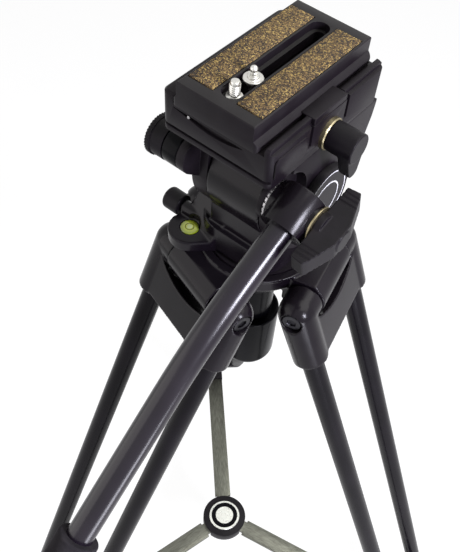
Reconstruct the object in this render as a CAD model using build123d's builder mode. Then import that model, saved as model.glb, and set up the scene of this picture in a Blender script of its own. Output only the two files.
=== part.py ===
"""A video tripod with twin-tube legs, a mid-level spreader and a fluid head with a sliding quick-release plate.

Millimetres. While the pieces are made, z = 0 is the level of the three leg hinges, the pan axis is x = y = 0,
+Y is where the lens looks and +X is the head's right. The last lines move every piece alike, so that the
feet stand on z = 0 and the middle of the whole outline is at x = y = 0.
"""
from build123d import *
from math import cos, radians, sin, sqrt
import os

os.makedirs("parts", exist_ok=True)
finished = []

# ---------------------------------------------------------------- clearances
running_fit = 0.05      # radial, between a pin or shaft and its bore
slide_gap = 0.05        # between flat faces that slide on each other
clear_gap = 0.35        # between pieces that pass each other without touching

# ---------------------------------------------------------------- quick-release plate
plate_width = 52.5
plate_length = 107.2
plate_middle_y = -4.9
plate_top = 163.0
plate_thickness = 16.0
plate_side = 9.0            # height of the upright side above the dovetail
plate_flare = 3.15          # how far the 45 degree dovetail stands out
plate_foot_chamfer = 1.4
plate_corner = 3.0
slot_width = 12.4           # upper, wide part of the long slot
slot_length = 90.0
slot_depth = 5.0
screw_slot_width = 7.2      # lower part, where the shank runs
head_slot_width = 15.0      # from below, where the screw head runs
head_slot_depth = 4.5
pad_width = 16.4
pad_length = 90.4
pad_recess = 0.9
pad_proud = 0.6
pad_offset = 16.4           # middle of a pad from the plate's middle
pad_margin = 0.5

screw_y = -42.0
screw_radius = 3.175        # 1/4 inch camera thread
screw_stand = 5.6           # thread above the plate
screw_chamfer = 0.8
screw_shank_radius = 2.9
screw_head_radius = 6.6
screw_head_height = 3.0
screw_flange_radius = 4.9
pin_y = -26.4
pin_radius = 2.0
pin_ball_radius = 2.3
pin_stand = 6.4
pin_washer_radius = 5.8
pin_washer_height = 1.5
pin_travel = 2.5

# ---------------------------------------------------------------- tilting platform
platform_width = 77.0
platform_rear = -57.0
platform_front = 50.0
platform_lip = 131.0        # lower edge of the platform's outer wall
platform_rail_top = 152.0
platform_corner = 5.0
band_height = 5.0           # narrower band under the lip
lip_groove_height = 1.8
lip_groove_depth = 2.4
right_rail_gap = 3.4        # lets the plate tip out when the jaw opens
ridge_width = 3.2           # upright rib of the right rail
rail_ledge = 149.0          # step outside that rib
jaw_side_groove = 2.6       # upright grooves beside the jaw
jaw_groove_depth = 2.0
jaw_groove_foot = 134.0
jaw_rear = -20.5
jaw_front = 11.0
jaw_floor = 147.6
jaw_travel = 2.0
jaw_tongue_length = 18.0
jaw_tongue_depth = 7.0
jaw_tongue_thickness = 2.0
panel_raise = 0.8

# ---------------------------------------------------------------- tilt axis, drum and cheeks
tilt_height = 79.5
drum_radius = 37.5
drum_half_width = 20.4
drum_cavity_radius = 25.0
cheek_gap = 0.6
cheek_radius = 36.8
left_cheek_thickness = 12.0
cheek_top_length = 70.0
cheek_middle_y = 1.0
lock_boss_depth = 6.0
lock_boss_wall = 1.5        # closed end of the tilt lock's bore
rosette_boss_start = 28.0
shaft_radius = 6.0
bearing_radius = 11.0
bearing_width = 6.0
spring_radius = 17.0
spring_wire = 1.3
spring_turns = 5
spring_seat_gap = 0.3
cap_radius = 24.5
cap_height = 5.5
lock_y = -3.0
lock_z = 133.0
lock_collar_radius = 10.0
lock_collar_height = 3.0
lock_barrel_radius = 9.2
lock_barrel_length = 13.5
lock_wing_thickness = 8.6
lock_wing_reach = 17.5
lock_wing_end_radius = 4.6
lock_spindle_radius = 3.0

# ---------------------------------------------------------------- tilt lock on the left cheek
tilt_lock_y = -39.5
tilt_lock_z = 98.7
tilt_lock_barrel_radius = 12.4
tilt_lock_barrel_length = 12.0
tilt_lock_radius = 13.6
tilt_lock_height = 12.5
tilt_lock_teeth = 40
tilt_lock_rim = 3.4         # length of the toothed rim
tilt_lock_body_radius = 12.6
tilt_lock_spindle_radius = 4.0

# ---------------------------------------------------------------- pan handle
rosette_y = -38.5
rosette_z = 102.0
rosette_radius = 13.0
rosette_height = 1.6
rosette_face = 33.0         # where the socket's boss meets the toothed ring
socket_radius = 14.0
socket_drop = 27.0          # degrees below level
socket_ahead = 11.0         # from the bolt to the closed end
socket_behind = 14.5        # from the bolt to the open rim
socket_offset = 3.0         # the socket's axis runs this far above the bolt
handle_radius = 8.5
handle_insert = 8.0
handle_straight = 52.0      # from the bolt to the start of the bend
handle_bend = 13.0          # degrees
handle_bend_radius = 330.0
handle_after = 201.0        # straight stretch after the bend
grip_radius = 13.2
grip_length = 120.0
grip_overlap = 100.0        # how far the tube runs inside the grip
bolt_radius = 4.0
washer_radius = 12.0
washer_height = 1.3
wing_length = 55.6
wing_width = 14.0
wing_thickness = 10.0        # at the bar's ends
wing_rise = 6.0              # how much thicker the middle is
wing_shoulder = 8.0
wing_stem_half = 11.0
wing_tilt = 14.3            # degrees, forward end up
wing_stem = 0.6
wing_hub_radius = 6.6
wing_hub_height = 6.8

# ---------------------------------------------------------------- pan housing
rim_height = 17.0           # top of the bowl's rim
pan_seat = 18.0             # flat top of the half ball
pan_foot_radius = 30.0
pan_foot_height = 4.0
pan_block_x = 66.0
pan_block_y = 72.0
pan_block_top = 42.0
pan_block_corner = 20.0
pod_x = -34.0
pod_y = -37.0
pod_radius = 15.0
pod_bottom = 19.6
pod_top = 28.5
fairing_top = 57.0
fairing_start = -32.5       # y at the pod's middle where the sloping face leaves the flat top
fairing_slope = 2.0         # rise of the sloping face per millimetre
fairing_lean = (0.3, 0.95)  # direction in which it rises
vial_radius = 6.4
vial_depth = 4.0
vial_recess_radius = 7.4
pan_lock_y = -26.6
pan_lock_z = 31.0
pan_lock_radius = 8.0
pan_lock_boss_radius = 5.0
pan_lock_start = 48.6       # distance of the knob's inner face from the pan axis plane
pan_lock_end = 62.7
pan_lock_room = 0.8         # air around the knob
pan_lock_spindle_radius = 3.0
pan_lock_spindle_length = 22.0

# ---------------------------------------------------------------- half ball, spindle, tie-down
bowl_radius = 37.5
ball_gap = 0.2
ball_wall = 6.0
ball_bottom_radius = 26.0
spindle_radius = 8.0
spindle_top = 39.0
stud_radius = 5.0
bowl_wall = 4.2
bowl_hole_radius = 22.0
cup_wall = 3.2
cup_radius = 24.5
knob_radius = 22.0
knob_neck_radius = 16.0
knob_bottom = -126.0
knob_height = 60.0

# ---------------------------------------------------------------- crown and leg hinges
rim_radius = 43.5
hinge_radius = 47.5         # hinge pins from the pan axis
hinge_bolt_radius = 4.0
bolt_head_height = 2.6
lobe_half_width = 24.8
lobe_top = 15.0
lobe_reach = 14.5           # round end about the hinge pin
lobe_flat = 53.0            # the flat top runs out to here
lobe_inner_low = -10.0
leg_azimuths = (13.16, 133.16, 253.16)
splay = 21.3                # degrees from upright at the spread stop
fold = 18.0                 # degrees that the legs close

# ---------------------------------------------------------------- legs
tube_radius = 8.25
tube_wall = 1.25
tube_half_spacing = 38.9
socket_outer_radius = 13.5
socket_length = 46.0
socket_end_gap = 12.0       # from the hinge pin down to the tube's end
screw_recess_radius = 7.5
screw_recess_depth = 6.0
web_top = -18.0
web_bottom = -44.0
web_near = 2.0
web_far = 12.0
arm_pivot_distance = 603.0  # hinge pin to the spreader arm's outer pivot
collar_radius = 12.5
collar_top = -560.0
collar_bottom = -636.0
tube_end = -618.0
collar_web_low = -582.0
collar_web_near = 8.0
collar_web_far = 13.0
stub_radius = 6.0
lower_tube_radius = 6.7
lower_tube_wall = 1.2
lower_tube_top = -96.0
foot_bridge_top = -642.0
foot_bridge_bottom = -658.0
lower_tube_end = -656.0
foot_ball_distance = 667.5  # hinge pin to the middle of the rubber foot
foot_radius = 18.0
foot_shank_radius = 10.0
lever_pivot = -577.0
lever_length = 44.0
lever_half_width = 21.0
lever_thickness = 5.0
lever_pin_radius = 2.5

# ---------------------------------------------------------------- spreader
hub_pivot_radius = 20.0
hub_radius = 27.4
hub_thickness = 14.0
hub_above = 6.8             # hub top above the arm pivots
hub_cap_radius = 19.5
hub_cap_height = 2.6
hub_pin_radius = 2.5
pocket_reach = 4.8          # room about the arm's knuckle
arm_width = 20.5
arm_thickness = 4.0
arm_knuckle_radius = 4.2
arm_knuckle_width = 15.0
arm_end_length = 47.0
arm_end_thickness = 8.6

# ---------------------------------------------------------------- worked out
plate_half = plate_width / 2
plate_foot_half = plate_half + plate_flare
plate_rear = plate_middle_y - plate_length / 2
plate_front = plate_middle_y + plate_length / 2
plate_bottom = plate_top - plate_thickness
flare_top = plate_top - plate_side
flare_end = flare_top - plate_flare
ledge = plate_top - slot_depth
platform_half = platform_width / 2
platform_middle_y = (platform_rear + platform_front) / 2
platform_length = platform_front - platform_rear
channel_floor = plate_bottom - slide_gap
band_bottom = platform_lip - band_height
left_cheek_face = -(drum_half_width + cheek_gap)
left_cheek_outer = left_cheek_face - left_cheek_thickness
right_cheek_face = drum_half_width + cheek_gap
lock_face = platform_half + lock_collar_height
socket_x = rosette_face + socket_radius
socket_outer = rosette_face + 2 * socket_radius
wing_start = socket_outer + 0.2 + washer_height + slide_gap
bar_start = wing_start + wing_stem
ball_radius = bowl_radius - ball_gap
crown_outer_radius = bowl_radius + bowl_wall
hinge_inner_face = lobe_half_width + 0.6
hinge_outer_face = tube_half_spacing + socket_outer_radius
tube_bore_radius = tube_radius - tube_wall
arm_half_width = arm_width / 2
arm_end_half_width = arm_half_width + 0.4
stub_face = arm_end_half_width + 0.3
arm_pivot_r = hinge_radius + arm_pivot_distance * sin(radians(splay))
arm_pivot_z = -arm_pivot_distance * cos(radians(splay))
arm_slope = 4.75            # degrees, arms fall away from the hub
arm_length = (arm_pivot_r - hub_pivot_radius) / cos(radians(arm_slope))
hub_z = arm_pivot_z + arm_length * sin(radians(arm_slope))


def side_plane(x):
    """A plane seen from the head's right: sketch x is y, sketch y is z, and it extrudes towards +X."""
    return Plane.YZ.offset(x)


# ================================================================ quick-release plate
with BuildPart() as camera_plate:
    with BuildSketch(Plane.XZ.offset(-plate_front)):
        with BuildLine():
            half_section = [
                (plate_foot_half - plate_foot_chamfer, plate_bottom),
                (plate_foot_half, plate_bottom + plate_foot_chamfer),
                (plate_foot_half, flare_end),
                (plate_half, flare_top),
                (plate_half, plate_top),
            ]
            mirrored = [(-x, z) for x, z in reversed(half_section)]
            Polyline(*half_section, *mirrored, close=True)
        make_face()
    extrude(amount=plate_length)
    with BuildSketch(Plane.XY.offset(plate_bottom)):
        with Locations((0, plate_middle_y)):
            RectangleRounded(2 * plate_foot_half, plate_length, plate_corner)
    extrude(amount=plate_thickness, mode=Mode.INTERSECT)
    chamfer(faces().sort_by(Axis.Z)[-1].edges(), 0.7)
    with BuildSketch(Plane.XY.offset(plate_top)):
        with Locations((0, plate_middle_y)):
            SlotOverall(slot_length, slot_width, rotation=90)
    extrude(amount=-slot_depth, mode=Mode.SUBTRACT)
    with BuildSketch(Plane.XY.offset(plate_top)):
        with Locations((0, plate_middle_y)):
            SlotOverall(slot_length - 4, screw_slot_width, rotation=90)
    extrude(amount=-plate_thickness, mode=Mode.SUBTRACT)
    with BuildSketch(Plane.XY.offset(plate_bottom)):
        with Locations((0, plate_middle_y)):
            SlotOverall(slot_length, head_slot_width, rotation=90)
    extrude(amount=head_slot_depth, mode=Mode.SUBTRACT)
    with BuildSketch(Plane.XY.offset(plate_top)):
        with Locations((-pad_offset, plate_middle_y), (pad_offset, plate_middle_y)):
            Rectangle(pad_width + 2 * pad_margin, pad_length + 2 * pad_margin)
    extrude(amount=-pad_recess, mode=Mode.SUBTRACT)
camera_plate.part.label = "camera_plate"
finished.append(camera_plate.part)

with BuildPart() as cork_pads:
    with BuildSketch(Plane.XY.offset(plate_top - pad_recess)):
        with Locations((-pad_offset, plate_middle_y), (pad_offset, plate_middle_y)):
            Rectangle(pad_width, pad_length)
    extrude(amount=pad_recess + pad_proud)
cork_pads.part.label = "cork_pads"
finished.append(cork_pads.part)

with BuildPart() as camera_screw:
    head_seat = plate_bottom + head_slot_depth - slide_gap
    with BuildSketch(Plane.XY.offset(head_seat)):
        with Locations((0, screw_y)):
            Circle(screw_head_radius)
    extrude(amount=-screw_head_height)
    with BuildSketch(Plane.XY.offset(head_seat)):
        with Locations((0, screw_y)):
            Circle(screw_shank_radius)
    extrude(amount=plate_top + pad_proud - head_seat)
    with BuildSketch(Plane.XY.offset(plate_top + pad_proud)):
        with Locations((0, screw_y)):
            Circle(screw_radius)
    extrude(amount=screw_stand - pad_proud)
    chamfer(faces().sort_by(Axis.Z)[-1].edges(), screw_chamfer)
    with BuildSketch(Plane.XY.offset(ledge + slide_gap)):
        with Locations((0, screw_y)):
            Circle(screw_flange_radius)
    extrude(amount=1.2)
camera_screw.part.label = "camera_screw"
finished.append(camera_screw.part)

with BuildPart() as video_pin:
    washer_base = ledge + pin_travel + 0.3
    with BuildSketch(Plane.XY.offset(washer_base)):
        with Locations((0, pin_y)):
            Circle(pin_washer_radius)
    extrude(amount=pin_washer_height)
    with BuildSketch(Plane.XY.offset(plate_bottom + pin_travel + 0.5)):
        with Locations((0, pin_y)):
            Circle(pin_radius)
    extrude(amount=plate_top + pin_stand - pin_ball_radius - plate_bottom - pin_travel - 0.5)
    with Locations((0, pin_y, plate_top + pin_stand - pin_ball_radius)):
        Sphere(pin_ball_radius)
video_pin.part.label = "video_pin"
finished.append(video_pin.part)

# ================================================================ tilting platform
with BuildPart() as tilt_platform:
    with BuildSketch(Plane.XY.offset(platform_lip)):
        with Locations((0, platform_middle_y)):
            RectangleRounded(platform_width, platform_length, platform_corner)
    extrude(amount=platform_rail_top - platform_lip)
    chamfer(edges().filter_by(Axis.Y).group_by(Axis.Z)[-1].group_by(Axis.X)[0], 1.6)
    with BuildSketch(Plane.XY.offset(band_bottom)):
        with Locations((0, platform_middle_y)):
            RectangleRounded(platform_width, platform_length, platform_corner)
    extrude(amount=band_height)
    # Groove under the lip, open at the rear and the left.
    with BuildSketch(Plane.XY.offset(platform_lip - lip_groove_height)):
        with Locations((0, platform_middle_y)):
            Rectangle(platform_width + 2, platform_length + 2)
        with Locations((lip_groove_depth, platform_middle_y + lip_groove_depth)):
            Rectangle(platform_width, platform_length, mode=Mode.SUBTRACT)
        with Locations((platform_half, platform_front)):
            Rectangle(4, 4, mode=Mode.SUBTRACT)
    extrude(amount=lip_groove_height, mode=Mode.SUBTRACT)
    # Channel for the plate: undercut at the left, upright at the right.
    with BuildSketch(Plane.XZ.offset(-platform_front - 1)):
        with BuildLine():
            rail_gap = slide_gap * sqrt(2)
            lip_x = plate_half + (flare_top - platform_rail_top) + rail_gap
            Polyline(
                (-plate_foot_half - slide_gap, channel_floor),
                (-plate_foot_half - slide_gap, flare_end + slide_gap),
                (-lip_x, platform_rail_top),
                (-lip_x, platform_rail_top + 1),
                (plate_foot_half + right_rail_gap, platform_rail_top + 1),
                (plate_foot_half + right_rail_gap, channel_floor),
                close=True,
            )
        make_face()
    extrude(amount=platform_length + 2, mode=Mode.SUBTRACT)
    # Room for the clamping jaw and its tongue.
    with BuildSketch(Plane.XY.offset(jaw_floor - slide_gap)):
        with Locations((platform_half, (jaw_rear + jaw_front) / 2)):
            Rectangle(2 * (platform_half - plate_foot_half), jaw_front - jaw_rear)
    extrude(amount=10, mode=Mode.SUBTRACT)
    tongue_start = plate_foot_half + right_rail_gap
    tongue_room = jaw_tongue_thickness + jaw_travel + 2 * clear_gap
    with BuildSketch(Plane.XY.offset(jaw_floor)):
        with Locations((tongue_start + tongue_room / 2, (jaw_rear + jaw_front) / 2)):
            Rectangle(tongue_room, jaw_tongue_length)
    extrude(amount=-jaw_tongue_depth - clear_gap, mode=Mode.SUBTRACT)
    # Step outside the rib of the right rail, then the grooves beside the jaw.
    with BuildSketch(Plane.XY.offset(rail_ledge)):
        with Locations((tongue_start + ridge_width + platform_half, platform_middle_y)):
            Rectangle(2 * platform_half, platform_length + 2)
    extrude(amount=platform_rail_top, mode=Mode.SUBTRACT)
    with BuildSketch(Plane.XY.offset(jaw_groove_foot)):
        for groove_y in (jaw_rear - jaw_side_groove / 2, jaw_front + jaw_side_groove / 2):
            with Locations((platform_half, groove_y)):
                Rectangle(2 * jaw_groove_depth, jaw_side_groove)
    extrude(amount=platform_rail_top, mode=Mode.SUBTRACT)
    # Raised side panel behind the jaw.
    with BuildSketch(side_plane(platform_half)):
        with Locations(((platform_rear + jaw_rear) / 2 - 1.5, (platform_lip + jaw_floor) / 2 - 0.5)):
            RectangleRounded(jaw_rear - platform_rear - 8.5, jaw_floor - platform_lip - 3, 2.5)
    extrude(amount=panel_raise)
    # Curved finger slot in the rear wall.
    with BuildSketch(Plane.XZ.offset(-platform_rear - 2.2)):
        with BuildLine():
            Line((-29.7, 144.3), (19.3, 143.4))
            ThreePointArc((19.3, 143.4), (6.0, 140.2), (-17.0, 141.8))
            Line((-17.0, 141.8), (-29.7, 144.0))
            Line((-29.7, 144.0), (-29.7, 144.3))
        make_face()
    extrude(amount=3, mode=Mode.SUBTRACT)
    # Spindle bore of the plate lock and screw holes for the cheeks.
    with BuildSketch(side_plane(platform_half + 1)):
        with Locations((lock_y, lock_z)):
            Circle(lock_spindle_radius + running_fit)
    extrude(amount=-8, mode=Mode.SUBTRACT)
tilt_platform.part.label = "tilt_platform"
finished.append(tilt_platform.part)

with BuildPart() as clamp_jaw:
    jaw_middle_y = (jaw_rear + jaw_front) / 2
    with BuildSketch(Plane.XZ.offset(-jaw_front + clear_gap)):
        with BuildLine():
            Polyline(
                (plate_foot_half + slide_gap, jaw_floor),
                (plate_foot_half + slide_gap, flare_end + slide_gap),
                (lip_x, platform_rail_top),
                (platform_half - 0.2, platform_rail_top),
                (platform_half - 0.2, jaw_floor),
                close=True,
            )
        make_face()
    extrude(amount=jaw_front - jaw_rear - 2 * clear_gap)
    with BuildSketch(Plane.XY.offset(jaw_floor)):
        with Locations((tongue_start + clear_gap + jaw_tongue_thickness / 2, jaw_middle_y)):
            Rectangle(jaw_tongue_thickness, jaw_tongue_length - 2 * clear_gap)
    extrude(amount=-jaw_tongue_depth)
clamp_jaw.part.label = "clamp_jaw"
finished.append(clamp_jaw.part)

with BuildPart() as plate_lock_collar:
    with BuildSketch(side_plane(platform_half)):
        with Locations((lock_y, lock_z)):
            Circle(lock_collar_radius)
            Circle(lock_spindle_radius + running_fit, mode=Mode.SUBTRACT)
    extrude(amount=lock_collar_height)
    chamfer(edges().filter_by(GeomType.CIRCLE).group_by(Axis.X)[-1].sort_by(SortBy.RADIUS)[-1], 0.6)
plate_lock_collar.part.label = "plate_lock_collar"
finished.append(plate_lock_collar.part)

with BuildPart() as plate_lock_knob:
    knob_face = lock_face + slide_gap
    knob_end = knob_face + lock_barrel_length + 4.4
    with BuildSketch(side_plane(knob_face)):
        with Locations((lock_y, lock_z)):
            Circle(lock_barrel_radius)
    extrude(amount=knob_end - knob_face)
    with BuildSketch(side_plane(knob_end - lock_wing_thickness)):
        with Locations((lock_y, lock_z)):
            Circle(lock_barrel_radius)
        with Locations((lock_y + 1.5, lock_z - lock_wing_reach)):
            Circle(lock_wing_end_radius)
        make_hull()
    extrude(amount=lock_wing_thickness - 1.2)
    fillet(faces().sort_by(Axis.X)[-1].edges(), 0.8)
    with BuildSketch(side_plane(knob_face)):
        with Locations((lock_y, lock_z)):
            Circle(lock_spindle_radius)
    extrude(amount=-lock_collar_height - 5)
plate_lock_knob.part.label = "plate_lock_knob"
finished.append(plate_lock_knob.part)

# ================================================================ cheeks, tilt shaft, tilt cap
with BuildPart() as left_cheek:
    with BuildSketch(side_plane(left_cheek_outer)):
        with Locations((0, tilt_height)):
            Circle(cheek_radius)
        with Locations((cheek_middle_y, band_bottom - 0.5)):
            Rectangle(cheek_top_length, 1)
        make_hull()
    extrude(amount=left_cheek_thickness)
    # Boss that carries the tilt lock.
    with BuildSketch(side_plane(left_cheek_outer)):
        with Locations((tilt_lock_y, tilt_lock_z)):
            Circle(tilt_lock_barrel_radius)
        with Locations((-20, 90)):
            Circle(18)
        make_hull()
    extrude(amount=lock_boss_depth)
    with BuildSketch(side_plane(left_cheek_face + 1)):
        with Locations((0, tilt_height)):
            Circle(shaft_radius)
    extrude(amount=-left_cheek_thickness + 1, mode=Mode.SUBTRACT)
    with BuildSketch(side_plane(left_cheek_outer + lock_boss_depth - lock_boss_wall)):
        with Locations((tilt_lock_y, tilt_lock_z)):
            Circle(tilt_lock_spindle_radius + running_fit)
    extrude(amount=-left_cheek_thickness, mode=Mode.SUBTRACT)
left_cheek.part.label = "left_cheek"
finished.append(left_cheek.part)

with BuildPart() as right_cheek:
    with BuildSketch(side_plane(right_cheek_face)):
        with Locations((0, tilt_height)):
            Circle(cheek_radius)
        with BuildLine():
            Polyline(
                (cheek_middle_y - cheek_top_length / 2, band_bottom),
                (platform_front, band_bottom),
                (platform_front, band_bottom - 3),
                (platform_front - 1.3, band_bottom - 12),
                (platform_front - 9.5, band_bottom - 20),
                close=True,
            )
        make_hull()
    extrude(amount=platform_half - right_cheek_face)
    # Boss that carries the toothed ring, and room for the socket to turn.
    with BuildSketch(side_plane(rosette_boss_start)):
        with Locations((rosette_y, rosette_z)):
            Circle(rosette_radius + 0.5)
        with Locations((-20, 90)):
            Circle(18)
        make_hull()
    extrude(amount=rosette_face - rosette_boss_start)
    with BuildSketch(side_plane(rosette_face - rosette_height)):
        with Locations((rosette_y, rosette_z)):
            Circle(rosette_radius + 7.9)
        with Locations((rosette_y - 20, rosette_z - 10)):
            Circle(rosette_radius + 7.9)
        make_hull()
    extrude(amount=platform_half, mode=Mode.SUBTRACT)
    with BuildSketch(side_plane(right_cheek_face - 1)):
        with Locations((0, tilt_height)):
            Circle(shaft_radius)
    extrude(amount=platform_half, mode=Mode.SUBTRACT)
    with BuildSketch(side_plane(right_cheek_face - 1)):
        with Locations((rosette_y, rosette_z)):
            Circle(bolt_radius + running_fit)
    extrude(amount=platform_half, mode=Mode.SUBTRACT)
right_cheek.part.label = "right_cheek"
finished.append(right_cheek.part)

with BuildPart() as tilt_shaft:
    with BuildSketch(side_plane(left_cheek_outer + 2)):
        with Locations((0, tilt_height)):
            Circle(shaft_radius)
    extrude(amount=platform_half - left_cheek_outer - 2)
tilt_shaft.part.label = "tilt_shaft"
finished.append(tilt_shaft.part)

with BuildPart() as tilt_bearings:
    for face, direction in ((-drum_half_width, 1), (drum_half_width, -1)):
        with BuildSketch(side_plane(face)):
            with Locations((0, tilt_height)):
                Circle(bearing_radius)
                Circle(shaft_radius + running_fit, mode=Mode.SUBTRACT)
        extrude(amount=direction * bearing_width)
tilt_bearings.part.label = "tilt_bearings"
finished.append(tilt_bearings.part)

with BuildPart() as counterbalance_spring:
    spring_half = drum_half_width - bearing_width - spring_wire - spring_seat_gap
    with BuildLine():
        coil = Helix(
            pitch=2 * spring_half / spring_turns,
            height=2 * spring_half,
            radius=spring_radius,
            center=(-spring_half, 0, tilt_height),
            direction=(1, 0, 0),
        )
    with BuildSketch(Plane(origin=coil @ 0, z_dir=coil % 0)):
        Circle(spring_wire)
    sweep()
counterbalance_spring.part.label = "counterbalance_spring"
finished.append(counterbalance_spring.part)

with BuildPart() as tilt_cap:
    with BuildSketch(side_plane(platform_half)):
        with Locations((0, tilt_height)):
            Circle(cap_radius)
    extrude(amount=cap_height)
    fillet(faces().sort_by(Axis.X)[-1].edges(), 1.6)
tilt_cap.part.label = "tilt_cap"
finished.append(tilt_cap.part)

# ================================================================ tilt lock
with BuildPart() as tilt_lock_barrel:
    with BuildSketch(side_plane(left_cheek_outer)):
        with Locations((tilt_lock_y, tilt_lock_z)):
            Circle(tilt_lock_barrel_radius)
            Circle(tilt_lock_spindle_radius + running_fit, mode=Mode.SUBTRACT)
    extrude(amount=-tilt_lock_barrel_length)
tilt_lock_barrel.part.label = "tilt_lock_barrel"
finished.append(tilt_lock_barrel.part)

with BuildPart() as tilt_lock_knob:
    tilt_lock_face = left_cheek_outer - tilt_lock_barrel_length - slide_gap
    with BuildSketch(side_plane(tilt_lock_face)):
        with Locations((tilt_lock_y, tilt_lock_z)):
            Circle(tilt_lock_body_radius)
    extrude(amount=-tilt_lock_height)
    with BuildSketch(side_plane(tilt_lock_face - tilt_lock_height + tilt_lock_rim)):
        with Locations((tilt_lock_y, tilt_lock_z)):
            Circle(tilt_lock_radius)
            with PolarLocations(tilt_lock_radius + 0.3, tilt_lock_teeth):
                Circle(0.75, mode=Mode.SUBTRACT)
    extrude(amount=-tilt_lock_rim)
    with BuildSketch(side_plane(tilt_lock_face)):
        with Locations((tilt_lock_y, tilt_lock_z)):
            Circle(tilt_lock_spindle_radius)
    extrude(amount=tilt_lock_barrel_length + lock_boss_depth - lock_boss_wall - slide_gap)
tilt_lock_knob.part.label = "tilt_lock_knob"
finished.append(tilt_lock_knob.part)

# ================================================================ pan handle
socket_angle = radians(socket_drop)
along = Vector(0, -cos(socket_angle), -sin(socket_angle))       # down the handle, away from the head
above = Vector(0, -sin(socket_angle), cos(socket_angle))
bolt_centre = Vector(socket_x, rosette_y, rosette_z)
socket_axis_point = bolt_centre + above * socket_offset
rim_plane = Plane(origin=socket_axis_point + along * socket_behind, x_dir=(1, 0, 0), z_dir=along * -1)

with BuildPart() as handle_socket:
    with BuildSketch(rim_plane):
        Circle(socket_radius)
    extrude(amount=socket_behind + socket_ahead)
    fillet(edges().filter_by(GeomType.CIRCLE).sort_by(Axis.Y)[-1], 1.2)
    with BuildSketch(side_plane(rosette_face + slide_gap)):
        with Locations((rosette_y, rosette_z)):
            Circle(rosette_radius)
    extrude(amount=socket_radius)
    with BuildSketch(side_plane(socket_outer + 0.2)):
        with Locations((rosette_y, rosette_z)):
            Circle(washer_radius - 1)
    extrude(amount=-socket_radius)
    with BuildSketch(rim_plane):
        Circle(handle_radius)
    extrude(amount=handle_insert, mode=Mode.SUBTRACT)
    with BuildSketch(side_plane(rosette_face - 1)):
        with Locations((rosette_y, rosette_z)):
            Circle(bolt_radius + running_fit)
    extrude(amount=3 * socket_radius, mode=Mode.SUBTRACT)
handle_socket.part.label = "handle_socket"
finished.append(handle_socket.part)

with BuildPart() as handle_rosette:
    with BuildSketch(side_plane(rosette_face)):
        with Locations((rosette_y, rosette_z)):
            Circle(rosette_radius)
            Circle(bolt_radius + running_fit, mode=Mode.SUBTRACT)
            with PolarLocations(rosette_radius, 24):
                Circle(0.6, mode=Mode.SUBTRACT)
    extrude(amount=-rosette_height)
handle_rosette.part.label = "handle_rosette"
finished.append(handle_rosette.part)

handle_start = socket_axis_point + along * (socket_behind - handle_insert)
bend_start = socket_axis_point + along * handle_straight
bend_angle = socket_angle + radians(handle_bend)
along_after = Vector(0, -cos(bend_angle), -sin(bend_angle))
bend_middle = bend_start - above * handle_bend_radius
bend_end = bend_middle + Vector(0, -sin(bend_angle), cos(bend_angle)) * handle_bend_radius
handle_end = bend_end + along_after * handle_after
grip_start = handle_end - along_after * grip_overlap

with BuildPart() as handle_tube:
    with BuildLine():
        lead = Line(handle_start, bend_start)
        TangentArc(bend_start, bend_end, tangent=along)
        Line(bend_end, handle_end)
    with BuildSketch(Plane(origin=lead @ 0, x_dir=(1, 0, 0), z_dir=along)):
        Circle(handle_radius)
        Circle(handle_radius - 1.5, mode=Mode.SUBTRACT)
    sweep()
handle_tube.part.label = "handle_tube"
finished.append(handle_tube.part)

with BuildPart() as handle_grip:
    with BuildSketch(Plane(origin=grip_start, x_dir=(1, 0, 0), z_dir=along_after)):
        Circle(grip_radius)
    extrude(amount=grip_length)
    fillet(edges().filter_by(GeomType.CIRCLE).sort_by(Axis.Y)[-1], 1.6)
    fillet(edges().filter_by(GeomType.CIRCLE).sort_by(Axis.Y)[0], 5.0)
    with BuildSketch(Plane(origin=grip_start, x_dir=(1, 0, 0), z_dir=along_after)):
        Circle(handle_radius)
    extrude(amount=grip_overlap, mode=Mode.SUBTRACT)
handle_grip.part.label = "handle_grip"
finished.append(handle_grip.part)

with BuildPart() as handle_washer:
    with BuildSketch(side_plane(socket_outer + 0.2)):
        with Locations((rosette_y, rosette_z)):
            Circle(washer_radius)
            Circle(bolt_radius + running_fit, mode=Mode.SUBTRACT)
    extrude(amount=washer_height)
handle_washer.part.label = "handle_washer"
finished.append(handle_washer.part)

with BuildPart() as wing_knob:
    bar_along = Vector(0, cos(radians(wing_tilt)), sin(radians(wing_tilt)))
    bar_across = Vector(0, -sin(radians(wing_tilt)), cos(radians(wing_tilt)))
    wing_plane = Plane(
        origin=Vector(bar_start, rosette_y, rosette_z) - bar_across * (wing_width / 2), x_dir=bar_along, z_dir=bar_across
    )
    with BuildSketch(wing_plane):
        with BuildLine():
            # Sketch x runs along the bar and sketch y runs towards the head.
            half_bar = [
                (wing_stem_half, 0),
                (wing_length / 2 - 1, 0),
                (wing_length / 2, -wing_thickness + 1.5),
                (wing_length / 2 - 3, -wing_thickness),
                (wing_shoulder, -wing_thickness - wing_rise),
            ]
            Polyline(*half_bar, *[(-x, y) for x, y in reversed(half_bar)], close=True)
        make_face()
    extrude(amount=wing_width)
    fillet(edges().filter_by(lambda edge: abs((edge % 0.5).dot(bar_across)) > 0.99), 1.0)
    with BuildSketch(side_plane(wing_start)):
        with Locations((rosette_y, rosette_z)):
            Circle(washer_radius - 2.5)
    extrude(amount=wing_stem + 4)
    with BuildSketch(side_plane(bar_start + 4)):
        with Locations((rosette_y, rosette_z)):
            Circle(wing_hub_radius)
    extrude(amount=wing_thickness + wing_hub_height - 4)
    with BuildSketch(side_plane(wing_start)):
        with Locations((rosette_y, rosette_z)):
            Circle(bolt_radius)
    extrude(amount=-(wing_start - right_cheek_face - 2))
wing_knob.part.label = "wing_knob"
finished.append(wing_knob.part)

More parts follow.
